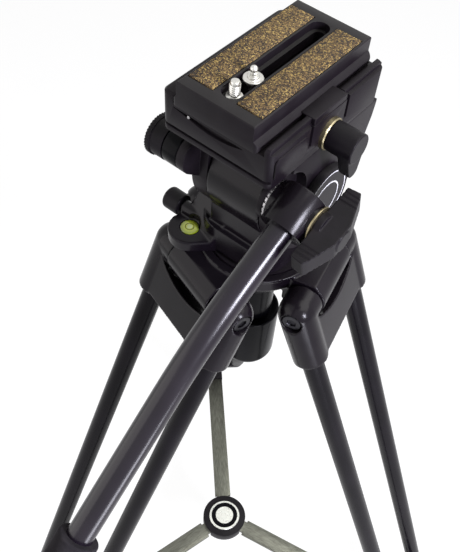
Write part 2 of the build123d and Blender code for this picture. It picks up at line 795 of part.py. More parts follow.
# ================================================================ pan housing
with BuildPart() as pan_housing:
    # Fairing behind the spirit level: a block with a sloping rear face.
    for level in (fairing_top, pod_top):
        with BuildSketch(Plane.XY.offset(pod_bottom)):
            with Locations((pod_x, pod_y)):
                Circle(pod_radius)
            with Locations((-12, -14)):
                Circle(16)
            make_hull()
        extrude(amount=level - pod_bottom)
        if level == fairing_top:
            slope_up = Vector(-fairing_slope * fairing_lean[0], -fairing_slope * fairing_lean[1], 1)
            with BuildSketch(Plane(origin=(pod_x, fairing_start, pod_top), z_dir=slope_up)):
                Rectangle(200, 200)
            extrude(amount=100, mode=Mode.SUBTRACT)
    with BuildSketch(side_plane(-drum_half_width)):
        with Locations((0, tilt_height)):
            Circle(cheek_radius + cheek_gap)
    extrude(amount=-30, mode=Mode.SUBTRACT)
    with BuildSketch(side_plane(-pan_lock_start + pan_lock_room)):
        with Locations((pan_lock_y, pan_lock_z)):
            Circle(pan_lock_radius + pan_lock_room)
    extrude(amount=-30, mode=Mode.SUBTRACT)
    # Body of the housing.
    with BuildSketch(Plane.XY.offset(pan_seat + slide_gap)):
        Circle(pan_foot_radius)
    extrude(amount=pan_foot_height + 1)
    with BuildSketch(Plane.XY.offset(pan_seat + slide_gap + pan_foot_height)):
        RectangleRounded(pan_block_x, pan_block_y, pan_block_corner)
    extrude(amount=pan_block_top - pan_seat - slide_gap - pan_foot_height)
    fillet(edges().group_by(Axis.Z)[-1], 4.0)
    with BuildSketch(Plane.XY.offset(pan_block_top - 8)):
        Rectangle(2 * drum_half_width, pan_block_y - 8)
    extrude(amount=tilt_height - pan_block_top + 8)
    with BuildSketch(side_plane(-drum_half_width)):
        with Locations((0, tilt_height)):
            Circle(drum_radius)
    extrude(amount=2 * drum_half_width)
    # Boss of the pan lock, then the seat of the spirit level.
    with BuildSketch(side_plane(-pan_lock_start + clear_gap)):
        with Locations((pan_lock_y, pan_lock_z)):
            Circle(pan_lock_boss_radius)
    extrude(amount=pan_lock_start - drum_half_width)
    with BuildSketch(Plane.XY.offset(pod_top)):
        with Locations((pod_x, pod_y)):
            Circle(vial_recess_radius)
    extrude(amount=fairing_top - pod_top, mode=Mode.SUBTRACT)
    with BuildSketch(Plane.XY.offset(pod_top)):
        with Locations((pod_x, pod_y)):
            Circle(vial_radius + running_fit)
    extrude(amount=-vial_depth, mode=Mode.SUBTRACT)
    with BuildSketch(side_plane(-pan_lock_start)):
        with Locations((pan_lock_y, pan_lock_z)):
            Circle(pan_lock_spindle_radius + running_fit)
    extrude(amount=pan_lock_spindle_length + 1, mode=Mode.SUBTRACT)
    # Hollow drum, bearing seats and the bore for the pan spindle.
    with BuildSketch(side_plane(-drum_half_width + bearing_width)):
        with Locations((0, tilt_height)):
            Circle(drum_cavity_radius)
    extrude(amount=2 * (drum_half_width - bearing_width), mode=Mode.SUBTRACT)
    with BuildSketch(side_plane(-drum_half_width - 1)):
        with Locations((0, tilt_height)):
            Circle(bearing_radius)
    extrude(amount=2 * drum_half_width + 2, mode=Mode.SUBTRACT)
    with BuildSketch(Plane.XY.offset(pan_seat - 1)):
        Circle(spindle_radius + running_fit)
    extrude(amount=spindle_top - pan_seat + 1 + 0.5, mode=Mode.SUBTRACT)
pan_housing.part.label = "pan_housing"
finished.append(pan_housing.part)

with BuildPart() as level_vial:
    with BuildSketch(Plane.XY.offset(pod_top - vial_depth)):
        with Locations((pod_x, pod_y)):
            Circle(vial_radius)
    extrude(amount=vial_depth + 0.4)
    fillet(edges().group_by(Axis.Z)[-1], 0.4)
level_vial.part.label = "level_vial"
finished.append(level_vial.part)

with BuildPart() as pan_lock_knob:
    with BuildSketch(side_plane(-pan_lock_end)):
        with Locations((pan_lock_y, pan_lock_z)):
            Circle(pan_lock_radius)
    extrude(amount=pan_lock_end - pan_lock_start)
    fillet(edges().filter_by(GeomType.CIRCLE).sort_by(Axis.X)[0], 2.5)
    fillet(edges().filter_by(GeomType.CIRCLE).sort_by(Axis.X)[-1], 1.0)
    with BuildSketch(side_plane(-pan_lock_start - 1)):
        with Locations((pan_lock_y, pan_lock_z)):
            Circle(pan_lock_spindle_radius)
    extrude(amount=pan_lock_spindle_length + 1)
pan_lock_knob.part.label = "pan_lock_knob"
finished.append(pan_lock_knob.part)

# ================================================================ half ball, spindle and tie-down
with BuildPart() as half_ball:
    with BuildSketch(Plane.XZ):
        with BuildLine():
            ball_low = rim_height - sqrt(ball_radius**2 - ball_bottom_radius**2)
            shoulder = sqrt(ball_radius**2 - (pan_seat - rim_height) ** 2)
            Polyline(
                (ball_bottom_radius, ball_low),
                (spindle_radius, ball_low),
                (spindle_radius, pan_seat),
                (shoulder, pan_seat),
            )
            RadiusArc((shoulder, pan_seat), (ball_bottom_radius, ball_low), ball_radius)
        make_face()
    revolve(axis=Axis.Z)
half_ball.part.label = "half_ball"
finished.append(half_ball.part)

with BuildPart() as pan_spindle:
    with BuildSketch(Plane.XY.offset(ball_low)):
        Circle(spindle_radius)
    extrude(amount=spindle_top - ball_low)
    with BuildSketch(Plane.XY.offset(ball_low)):
        Circle(stud_radius)
    extrude(amount=-(ball_low - (knob_bottom + 20)))
pan_spindle.part.label = "pan_spindle"
finished.append(pan_spindle.part)

cup_inner_radius = crown_outer_radius + 0.1
cup_outer_radius = cup_inner_radius + cup_wall
cup_edge_z = rim_height - sqrt(cup_inner_radius**2 - cup_radius**2)
cup_bottom = rim_height - cup_outer_radius
with BuildPart() as clamp_cup:
    with BuildSketch(Plane.XZ):
        with BuildLine():
            outer_edge_z = rim_height - sqrt(cup_outer_radius**2 - cup_radius**2)
            inner_low = rim_height - sqrt(cup_inner_radius**2 - (stud_radius + running_fit) ** 2)
            Line((cup_radius, cup_edge_z), (cup_radius, outer_edge_z))
            Line((cup_radius, outer_edge_z), (cup_radius - 8, cup_bottom))
            Line((cup_radius - 8, cup_bottom), (stud_radius + running_fit, cup_bottom))
            Line((stud_radius + running_fit, cup_bottom), (stud_radius + running_fit, inner_low))
            RadiusArc((stud_radius + running_fit, inner_low), (cup_radius, cup_edge_z), -cup_inner_radius)
        make_face()
    revolve(axis=Axis.Z)
clamp_cup.part.label = "clamp_cup"
finished.append(clamp_cup.part)

with BuildPart() as tie_down_knob:
    knob_top = cup_bottom - slide_gap
    with BuildSketch(Plane.XY.offset(knob_bottom)):
        Circle(knob_radius)
    extrude(amount=knob_height)
    fillet(edges().group_by(Axis.Z)[0], 9.0)
    fillet(edges().group_by(Axis.Z)[-1], 2.0)
    with BuildSketch(Plane.XY.offset(knob_top)):
        Circle(knob_neck_radius)
    extrude(amount=-(knob_top - knob_bottom - 10))
    with BuildSketch(Plane.XY.offset(knob_top + 1)):
        Circle(stud_radius + running_fit)
    extrude(amount=-(knob_top - knob_bottom - 19), mode=Mode.SUBTRACT)
tie_down_knob.part.label = "tie_down_knob"
finished.append(tie_down_knob.part)

# ================================================================ crown and hinge bolts
leg_planes = []
for azimuth in leg_azimuths:
    turn = radians(azimuth)
    lean = radians(splay)
    hinge_point = (hinge_radius * cos(turn), hinge_radius * sin(turn), 0)
    up_the_leg = (-sin(lean) * cos(turn), -sin(lean) * sin(turn), cos(lean))
    leg_planes.append(Plane(origin=hinge_point, x_dir=(sin(turn), -cos(turn), 0), z_dir=up_the_leg))

with BuildPart() as crown:
    with BuildSketch(Plane.XZ):
        with BuildLine():
            skirt_z = rim_height - sqrt(crown_outer_radius**2 - 36.0**2)
            hole_z = rim_height - sqrt(crown_outer_radius**2 - bowl_hole_radius**2)
            Polyline(
                (0, hole_z),
                (bowl_hole_radius, hole_z),
            )
            RadiusArc((bowl_hole_radius, hole_z), (36.0, skirt_z), -crown_outer_radius)
            Polyline(
                (36.0, skirt_z),
                (crown_outer_radius, skirt_z + 8),
                (crown_outer_radius, lobe_top - 0.8),
                (rim_radius, lobe_top - 0.8),
                (rim_radius, rim_height),
                (0, rim_height),
                (0, hole_z),
            )
        make_face()
    revolve(axis=Axis.Z)
    for azimuth in leg_azimuths:
        turn = radians(azimuth)
        tangent = Vector(sin(turn), -cos(turn), 0)
        outward = Vector(cos(turn), sin(turn), 0)
        with BuildSketch(Plane(origin=tangent * -lobe_half_width, x_dir=outward, z_dir=tangent)):
            with Locations((hinge_radius, 0)):
                Circle(lobe_reach)
            with BuildLine():
                Polyline((30, lobe_top), (lobe_flat, lobe_top), (30, lobe_inner_low), close=True)
            make_face()
            make_hull()
        extrude(amount=2 * lobe_half_width)
        with BuildSketch(Plane(origin=tangent * -60, x_dir=outward, z_dir=tangent)):
            with Locations((hinge_radius, 0)):
                Circle(hinge_bolt_radius + running_fit)
        extrude(amount=120, mode=Mode.SUBTRACT)
    with BuildSketch(Plane.XZ):
        with BuildLine():
            inner_hole_z = rim_height - sqrt(bowl_radius**2 - bowl_hole_radius**2)
            Line((0, rim_height + 1), (bowl_radius, rim_height + 1))
            Line((bowl_radius, rim_height + 1), (bowl_radius, rim_height))
            RadiusArc((bowl_radius, rim_height), (bowl_hole_radius, inner_hole_z), bowl_radius)
            Line((bowl_hole_radius, inner_hole_z), (bowl_hole_radius, hole_z - 5))
            Line((bowl_hole_radius, hole_z - 5), (0, hole_z - 5))
            Line((0, hole_z - 5), (0, rim_height + 1))
        make_face()
    revolve(axis=Axis.Z, mode=Mode.SUBTRACT)
crown.part.label = "crown"
finished.append(crown.part)

with BuildPart() as hinge_bolts:
    bolt_half = hinge_outer_face - screw_recess_depth + bolt_head_height
    for azimuth in leg_azimuths:
        turn = radians(azimuth)
        tangent = Vector(sin(turn), -cos(turn), 0)
        centre = Vector(hinge_radius * cos(turn), hinge_radius * sin(turn), 0)
        with BuildSketch(Plane(origin=centre - tangent * bolt_half, x_dir=(0, 0, 1), z_dir=tangent)):
            Circle(hinge_bolt_radius)
        extrude(amount=2 * bolt_half)
        for end in (-1, 1):
            head = hinge_outer_face - screw_recess_depth + slide_gap
            with BuildSketch(Plane(origin=centre + tangent * (end * head), x_dir=(0, 0, 1), z_dir=tangent * end)):
                Circle(screw_recess_radius - 0.8)
            extrude(amount=bolt_half - head)
hinge_bolts.part.label = "hinge_bolts"
finished.append(hinge_bolts.part)

# ================================================================ one leg, upright, its hinge pin along X at the origin
with BuildPart() as leg_yoke:
    for side in (-1, 1):
        with BuildSketch(Plane.XY.offset(-socket_length)):
            with Locations((side * tube_half_spacing, 0)):
                Circle(socket_outer_radius - 0.25)
        extrude(amount=socket_length)
        with Locations((side * tube_half_spacing, 0, 0)):
            Sphere(socket_outer_radius - 0.25)
        with BuildSketch(side_plane(side * (tube_half_spacing - socket_outer_radius))):
            Circle(socket_outer_radius)
        extrude(amount=side * socket_outer_radius)
    with BuildSketch(Plane.XZ.offset(-web_near)):
        with BuildLine():
            Line((-tube_half_spacing, web_bottom), (tube_half_spacing, web_bottom))
            Line((tube_half_spacing, web_bottom), (tube_half_spacing, -4))
            ThreePointArc((tube_half_spacing, -4), (0, web_top), (-tube_half_spacing, -4))
            Line((-tube_half_spacing, -4), (-tube_half_spacing, web_bottom))
        make_face()
    extrude(amount=-(web_far - web_near))
    # Keep clear of the crown's lobe, bore for the tubes and the bolt, sink the bolt's ends.
    with BuildSketch(side_plane(-hinge_inner_face)):
        Circle(lobe_reach + 2.4)
        with BuildLine():
            Polyline((-20, 0), (-20, 30), (30, 30), (30, 6), (10, 0), close=True)
        make_face()
    extrude(amount=2 * hinge_inner_face, mode=Mode.SUBTRACT)
    for side in (-1, 1):
        with BuildSketch(Plane.XY.offset(-socket_length - 1)):
            with Locations((side * tube_half_spacing, 0)):
                Circle(tube_radius)
        extrude(amount=socket_length + 1 - socket_end_gap, mode=Mode.SUBTRACT)
        with BuildSketch(side_plane(side * (hinge_outer_face + 1))):
            Circle(screw_recess_radius)
        extrude(amount=-side * (screw_recess_depth + 1), mode=Mode.SUBTRACT)
    with BuildSketch(side_plane(-hinge_outer_face - 1)):
        Circle(hinge_bolt_radius + running_fit)
    extrude(amount=2 * hinge_outer_face + 2, mode=Mode.SUBTRACT)

with BuildPart() as upper_tubes:
    for side in (-1, 1):
        with BuildSketch(Plane.XY.offset(tube_end)):
            with Locations((side * tube_half_spacing, 0)):
                Circle(tube_radius)
                Circle(tube_bore_radius, mode=Mode.SUBTRACT)
        extrude(amount=-socket_end_gap - tube_end)

with BuildPart() as leg_collar:
    for side in (-1, 1):
        with BuildSketch(Plane.XY.offset(collar_bottom)):
            with Locations((side * tube_half_spacing, 0)):
                Circle(collar_radius)
        extrude(amount=collar_top - collar_bottom)
        with BuildSketch(Plane.YZ.offset(side * stub_face)):
            with Locations((0, -arm_pivot_distance)):
                Circle(stub_radius)
        extrude(amount=side * (tube_half_spacing - stub_face))
    with BuildSketch(Plane.XZ.offset(-collar_web_near)):
        with BuildLine():
            Polyline(
                (-tube_half_spacing, collar_web_low),
                (tube_half_spacing, collar_web_low),
                (tube_half_spacing, collar_top),
                (-tube_half_spacing, collar_top),
                close=True,
            )
        make_face()
    extrude(amount=-(collar_web_far - collar_web_near))
    # Ears of the locking lever.
    for side in (-1, 1):
        ear_start = lever_half_width + clear_gap
        with BuildSketch(side_plane(side * ear_start)):
            with Locations((collar_web_far + lever_thickness / 2 + 1, lever_pivot)):
                Circle(4.0)
            with Locations((collar_web_far - 1, lever_pivot)):
                Rectangle(2, 8)
            make_hull()
        extrude(amount=side * 4)
    for side in (-1, 1):
        with BuildSketch(Plane.XY.offset(tube_end)):
            with Locations((side * tube_half_spacing, 0)):
                Circle(tube_radius)
        extrude(amount=collar_top - tube_end + 1, mode=Mode.SUBTRACT)
        with BuildSketch(Plane.XY.offset(collar_bottom - 1)):
            with Locations((side * tube_half_spacing, 0)):
                Circle(lower_tube_radius + running_fit)
        extrude(amount=tube_end - collar_bottom + 2, mode=Mode.SUBTRACT)
    with BuildSketch(side_plane(-lever_half_width - 10)):
        with Locations((collar_web_far + lever_thickness / 2 + 1, lever_pivot)):
            Circle(lever_pin_radius + running_fit)
    extrude(amount=2 * lever_half_width + 20, mode=Mode.SUBTRACT)

with BuildPart() as leg_lever:
    lever_y = collar_web_far + lever_thickness / 2 + 1
    with BuildSketch(side_plane(-lever_half_width)):
        with Locations((lever_y, lever_pivot)):
            Circle(3.4)
        with Locations((lever_y, lever_pivot + lever_length)):
            Circle(lever_thickness / 2)
        make_hull()
    extrude(amount=2 * lever_half_width)
    with BuildSketch(side_plane(-lever_half_width - clear_gap - 4)):
        with Locations((lever_y, lever_pivot)):
            Circle(lever_pin_radius)
    extrude(amount=2 * (lever_half_width + clear_gap + 4))

with BuildPart() as lower_tubes:
    for side in (-1, 1):
        with BuildSketch(Plane.XY.offset(lower_tube_end)):
            with Locations((side * tube_half_spacing, 0)):
                Circle(lower_tube_radius)
                Circle(lower_tube_radius - lower_tube_wall, mode=Mode.SUBTRACT)
        extrude(amount=lower_tube_top - lower_tube_end)

with BuildPart() as foot_bridge:
    with BuildSketch(Plane.XY.offset(foot_bridge_bottom)):
        SlotOverall(2 * (tube_half_spacing + 11.0), 22.0)
    extrude(amount=foot_bridge_top - foot_bridge_bottom)
    fillet(edges().group_by(Axis.Z)[0], 3.0)
    with BuildSketch(Plane.XY.offset(foot_bridge_bottom + 4)):
        Circle(foot_shank_radius)
    extrude(amount=-(foot_ball_distance + foot_bridge_bottom) - 4)
    for side in (-1, 1):
        with BuildSketch(Plane.XY.offset(lower_tube_end)):
            with Locations((side * tube_half_spacing, 0)):
                Circle(lower_tube_radius)
        extrude(amount=20, mode=Mode.SUBTRACT)

with BuildPart() as rubber_foot:
    with Locations((0, 0, -foot_ball_distance)):
        Sphere(foot_radius)
    foot_top = foot_bridge_bottom
    with BuildSketch(Plane.XY.offset(foot_top)):
        Rectangle(4 * foot_radius, 4 * foot_radius)
    extrude(amount=foot_radius, mode=Mode.SUBTRACT)
    with BuildSketch(Plane.XY.offset(-foot_ball_distance)):
        Circle(foot_shank_radius)
    extrude(amount=foot_radius + 5, mode=Mode.SUBTRACT)

one_leg = {
    "leg_yoke": leg_yoke.part,
    "upper_tubes": upper_tubes.part,
    "leg_collar": leg_collar.part,
    "leg_lever": leg_lever.part,
    "lower_tubes": lower_tubes.part,
    "foot_bridge": foot_bridge.part,
    "rubber_foot": rubber_foot.part,
}
for number, leg_plane in enumerate(leg_planes, 1):
    for kind, piece in one_leg.items():
        placed = piece.moved(leg_plane.location)
        placed.label = f"{kind}_{number}"
        finished.append(placed)

# ================================================================ spreader
with BuildPart() as spreader_hub:
    with BuildSketch(Plane.XY.offset(hub_z + hub_above - hub_thickness)):
        Circle(hub_radius)
    extrude(amount=hub_thickness)
    for azimuth in leg_azimuths:
        turn = radians(azimuth)
        outward = Vector(cos(turn), sin(turn), 0)
        tangent = Vector(sin(turn), -cos(turn), 0)
        # The knuckle's pocket is open outwards and downwards, so that the arm can hang.
        with BuildSketch(Plane(origin=tangent * -(arm_knuckle_width / 2 + clear_gap), x_dir=outward, z_dir=tangent)):
            pocket_low = hub_z - hub_thickness
            with BuildLine():
                Polyline(
                    (hub_pivot_radius - pocket_reach, hub_z + pocket_reach),
                    (hub_radius + 2, hub_z + pocket_reach),
                    (hub_radius + 2, pocket_low),
                    (hub_pivot_radius - pocket_reach, pocket_low),
                    close=True,
                )
            make_face()
        extrude(amount=arm_knuckle_width + 2 * clear_gap, mode=Mode.SUBTRACT)
        pin_centre = outward * hub_pivot_radius + Vector(0, 0, hub_z)
        with BuildSketch(Plane(origin=pin_centre - tangent * 12, x_dir=(0, 0, 1), z_dir=tangent)):
            Circle(hub_pin_radius)
        extrude(amount=24)
spreader_hub.part.label = "spreader_hub"
finished.append(spreader_hub.part)

with BuildPart() as hub_cap:
    with BuildSketch(Plane.XY.offset(hub_z + hub_above)):
        Circle(hub_cap_radius)
    extrude(amount=hub_cap_height)
    fillet(edges().group_by(Axis.Z)[-1], 0.9)
hub_cap.part.label = "hub_cap"
finished.append(hub_cap.part)

with BuildPart() as spreader_arm:
    with BuildSketch(Plane.XY.offset(-arm_thickness / 2)):
        with Locations(((arm_length - arm_end_length + 12) / 2 + 4, 0)):
            Rectangle(arm_length - arm_end_length + 12 - 8, arm_width)
    extrude(amount=arm_thickness)
    with BuildSketch(Plane.XZ.offset(-arm_knuckle_width / 2)):
        Circle(arm_knuckle_radius)
        with Locations((6, 0)):
            Rectangle(10, arm_thickness)
    extrude(amount=arm_knuckle_width)
    with BuildSketch(Plane.XZ.offset(-20)):
        Circle(hub_pin_radius + running_fit)
    extrude(amount=40, mode=Mode.SUBTRACT)
    # The bar's corners are cut back to pass the hub's rim.
    with BuildSketch(Plane.XY.offset(-10)):
        with Locations((4, arm_width / 2 + arm_knuckle_width / 2), (4, -arm_width / 2 - arm_knuckle_width / 2)):
            Rectangle(12, arm_width)
    extrude(amount=20, mode=Mode.SUBTRACT)

with BuildPart() as arm_end:
    with BuildSketch(Plane.XZ.offset(-arm_end_half_width)):
        with Locations((arm_length, 0)):
            Circle(arm_end_thickness / 2 + 1.5)
        with Locations((arm_length - arm_end_length / 2, 0)):
            Rectangle(arm_end_length, arm_end_thickness)
    extrude(amount=2 * arm_end_half_width)
    with BuildSketch(Plane.XY.offset(-arm_thickness / 2)):
        with Locations((arm_length - arm_end_length + 6, 0)):
            Rectangle(12.2, arm_width)
    extrude(amount=arm_thickness, mode=Mode.SUBTRACT)

for number, azimuth in enumerate(leg_azimuths, 1):
    turn = radians(azimuth)
    slope = radians(arm_slope)
    outward = Vector(cos(turn), sin(turn), 0)
    arm_plane = Plane(
        origin=outward * hub_pivot_radius + Vector(0, 0, hub_z),
        x_dir=outward * cos(slope) - Vector(0, 0, sin(slope)),
        z_dir=outward * sin(slope) + Vector(0, 0, cos(slope)),
    )
    for kind, piece in (("spreader_arm", spreader_arm.part), ("arm_end", arm_end.part)):
        placed = piece.moved(arm_plane.location)
        placed.label = f"{kind}_{number}"
        finished.append(placed)

# ================================================================ stand the whole on the floor and write it
outline = Compound(children=[piece.moved(Location((0, 0, 0))) for piece in finished]).bounding_box()
stand = Location((-outline.center().X, -outline.center().Y, -outline.min.Z))
if __name__ == "__main__":
    for piece in finished:
        export_step(piece.moved(stand), f"parts/{piece.label}.step")
    print("pieces", len(finished), "box", outline.size, "moved by", stand.position)
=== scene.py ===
import bpy
from math import cos, pi, radians, sin
from mathutils import Matrix, Vector


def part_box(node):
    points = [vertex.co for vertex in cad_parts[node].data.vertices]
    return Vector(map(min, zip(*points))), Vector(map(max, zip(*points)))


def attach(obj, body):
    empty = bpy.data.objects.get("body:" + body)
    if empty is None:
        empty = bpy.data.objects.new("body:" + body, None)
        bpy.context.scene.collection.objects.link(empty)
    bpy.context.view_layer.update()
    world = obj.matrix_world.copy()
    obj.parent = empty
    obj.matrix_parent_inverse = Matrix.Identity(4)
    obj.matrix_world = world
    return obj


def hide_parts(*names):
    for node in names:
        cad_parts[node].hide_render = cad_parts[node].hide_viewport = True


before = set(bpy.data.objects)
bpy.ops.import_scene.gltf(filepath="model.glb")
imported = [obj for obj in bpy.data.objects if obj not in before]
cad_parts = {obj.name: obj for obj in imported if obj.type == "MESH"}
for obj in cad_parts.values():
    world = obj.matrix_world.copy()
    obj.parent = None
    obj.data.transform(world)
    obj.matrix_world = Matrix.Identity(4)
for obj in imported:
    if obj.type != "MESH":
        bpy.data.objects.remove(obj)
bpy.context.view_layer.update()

# ---- Camera -------------------------------------------------------------------------------
# The camera stands above and behind the head's right side and looks down past it at the floor.
# Places are in millimetres from the head's own point: the pan axis at the level of the leg hinges.
ball_low, ball_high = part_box("half_ball")
hinge_level_below_ball = 0.018
ball_middle = (ball_low + ball_high) / 2
head = Vector((ball_middle.x, ball_middle.y, ball_high.z - hinge_level_below_ball))


def at(x, y, z):
    return head + Vector((x, y, z)) / 1000


sight = Vector((-0.3123, 0.4863, -0.8161)).normalized()
level_right = sight.cross(Vector((0, 0, 1))).normalized()
camera_roll = radians(7.3)
camera_right = level_right * cos(camera_roll) + level_right.cross(sight) * sin(camera_roll)
camera_up = camera_right.cross(sight)
camera_data = bpy.data.cameras.new("camera")
camera = bpy.data.objects.new("camera", camera_data)
bpy.context.scene.collection.objects.link(camera)
camera.matrix_world = Matrix.Translation(at(192.1, -299.1, 409.7)) @ Matrix(
    (camera_right, camera_up, -sight)
).transposed().to_4x4()
frame_width, frame_height = 460, 552
centre_x, centre_y, focal_length = 249.19, 322.06, 745.06      # in the same units as the frame
camera_data.sensor_width = 36.0
camera_data.lens = focal_length / frame_height * camera_data.sensor_width
camera_data.shift_x = (frame_width / 2 - centre_x) / frame_height
camera_data.shift_y = (centre_y - frame_height / 2) / frame_height
camera_data.clip_start = 0.02
bpy.context.scene.camera = camera

# ---- Floor and light ----------------------------------------------------------------------
# A pale floor that shows white to the camera and to shiny surfaces, and keeps the shadows.
# One window-like lamp at the camera's right, a wide soft one overhead and a weak one at the left.


def clean_nodes(material):
    material.use_nodes = True
    material.node_tree.nodes.clear()
    return material.node_tree.nodes, material.node_tree.links


def seen_ray(nodes, links):
    """1 for camera, glossy and transmission rays, 0 for the rays that carry light between surfaces."""
    rays = nodes.new("ShaderNodeLightPath")
    value = rays.outputs["Is Camera Ray"]
    for kind in ("Is Glossy Ray", "Is Transmission Ray"):
        larger = nodes.new("ShaderNodeMath")
        larger.operation = "MAXIMUM"
        links.new(value, larger.inputs[0])
        links.new(rays.outputs[kind], larger.inputs[1])
        value = larger.outputs[0]
    return value


bpy.ops.object.select_all(action="DESELECT")
floor_size, floor_drop = 12, 0.0005
bpy.ops.mesh.primitive_plane_add(size=floor_size, location=(head.x, head.y, -floor_drop))
floor = bpy.context.active_object
floor.name = "floor"
floor_paper = bpy.data.materials.new("floor_paper")
nodes, links = clean_nodes(floor_paper)
output = nodes.new("ShaderNodeOutputMaterial")
paper = nodes.new("ShaderNodeBsdfDiffuse")
paper_grey = 0.22
paper.inputs["Color"].default_value = (paper_grey, paper_grey, paper_grey, 1)
lift = nodes.new("ShaderNodeEmission")
lift.inputs["Color"].default_value = (1, 1, 1, 1)
share = nodes.new("ShaderNodeMath")
share.operation = "MULTIPLY"
floor_lift = 0.9
share.inputs[1].default_value = floor_lift
both = nodes.new("ShaderNodeAddShader")
links.new(seen_ray(nodes, links), share.inputs[0])
links.new(share.outputs[0], lift.inputs["Strength"])
links.new(paper.outputs[0], both.inputs[0])
links.new(lift.outputs[0], both.inputs[1])
links.new(both.outputs[0], output.inputs["Surface"])
floor.data.materials.append(floor_paper)

world = bpy.data.worlds.new("studio")
bpy.context.scene.world = world
world.use_nodes = True
nodes, links = world.node_tree.nodes, world.node_tree.links
nodes.clear()
output = nodes.new("ShaderNodeOutputWorld")
seen_room = nodes.new("ShaderNodeBackground")
seen_room.inputs["Color"].default_value = (1, 1, 1, 1)
seen_room.inputs["Strength"].default_value = 1.0
lit_room = nodes.new("ShaderNodeBackground")
lit_room.inputs["Color"].default_value = (1, 1, 1, 1)
lit_room.inputs["Strength"].default_value = 0.05
either = nodes.new("ShaderNodeMixShader")
links.new(seen_ray(nodes, links), either.inputs[0])
links.new(lit_room.outputs[0], either.inputs[1])
links.new(seen_room.outputs[0], either.inputs[2])
links.new(either.outputs[0], output.inputs["Surface"])


def lamp(name, place, aim, size, power, colour=(1, 1, 1)):
    data = bpy.data.lights.new(name, "AREA")
    data.shape = "RECTANGLE"
    data.size, data.size_y = size
    data.energy = power
    data.color = colour
    holder = bpy.data.objects.new(name, data)
    bpy.context.scene.collection.objects.link(holder)
    holder.location = place
    holder.visible_camera = False
    holder.rotation_euler = (Vector(aim) - Vector(place)).to_track_quat("-Z", "Y").to_euler()


head_middle = at(0, 0, 60)
cool_white, warm_white = (0.88, 0.87, 1.0), (1.0, 0.99, 0.95)
lamp("window_right", head_middle + Vector((1.2, -0.2, 0.53)), head_middle, (0.22, 0.42), 23, cool_white)
lamp("overhead", head_middle + Vector((0.5, 0.5, 1.2)), head_middle, (1.3, 1.3), 15, warm_white)
lamp("low_right", head_middle + Vector((0.95, -0.5, -0.45)), head_middle, (0.5, 0.25), 5, (0.9, 0.9, 1.0))
lamp("left_fill", head_middle + Vector((-0.75, -1.0, 0.25)), head_middle, (1.3, 1.3), 6, (1.0, 0.95, 0.95))

# ---- Quick-release plate ------------------------------------------------------------------
# A die-cast aluminium plate with a dovetail foot and a long slot, painted satin black-grey.
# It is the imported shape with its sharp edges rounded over, as paint and tumbling leave them.


def only(piece):
    bpy.ops.object.select_all(action="DESELECT")
    piece.select_set(True)
    bpy.context.view_layer.objects.active = piece


def blank_from(node, name, merge_flats=True):
    """A piece of its own cut to the node's shape, with its triangles joined up."""
    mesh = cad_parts[node].data.copy()
    mesh.materials.clear()
    piece = bpy.data.objects.new(name, mesh)
    bpy.context.scene.collection.objects.link(piece)
    only(piece)
    bpy.ops.mesh.customdata_custom_splitnormals_clear()
    bpy.ops.object.mode_set(mode="EDIT")
    bpy.ops.mesh.select_all(action="SELECT")
    bpy.ops.mesh.remove_doubles(threshold=0.00001)
    if merge_flats:
        bpy.ops.mesh.dissolve_limited(angle_limit=radians(0.4))
    bpy.ops.object.mode_set(mode="OBJECT")
    return piece


def smooth(piece, crease=32):
    only(piece)
    bpy.ops.object.shade_smooth_by_angle(angle=radians(crease))
    return piece


def trimmed(piece, edge, segments=2, sharp=32):
    """Rounds every sharp edge over; the edge's width is in millimetres."""
    only(piece)
    rounding = piece.modifiers.new("rounding", "BEVEL")
    rounding.width = edge / 1000
    rounding.segments = segments
    rounding.limit_method = "ANGLE"
    rounding.angle_limit = radians(sharp)
    rounding.use_clamp_overlap = True
    bpy.ops.object.modifier_apply(modifier=rounding.name)
    return smooth(piece)


def finished(piece, body, slot, material, *nodes):
    piece.data.materials.clear()
    piece.data.materials.append(material)
    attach(piece, body)
    if nodes:
        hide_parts(*nodes)
    return piece


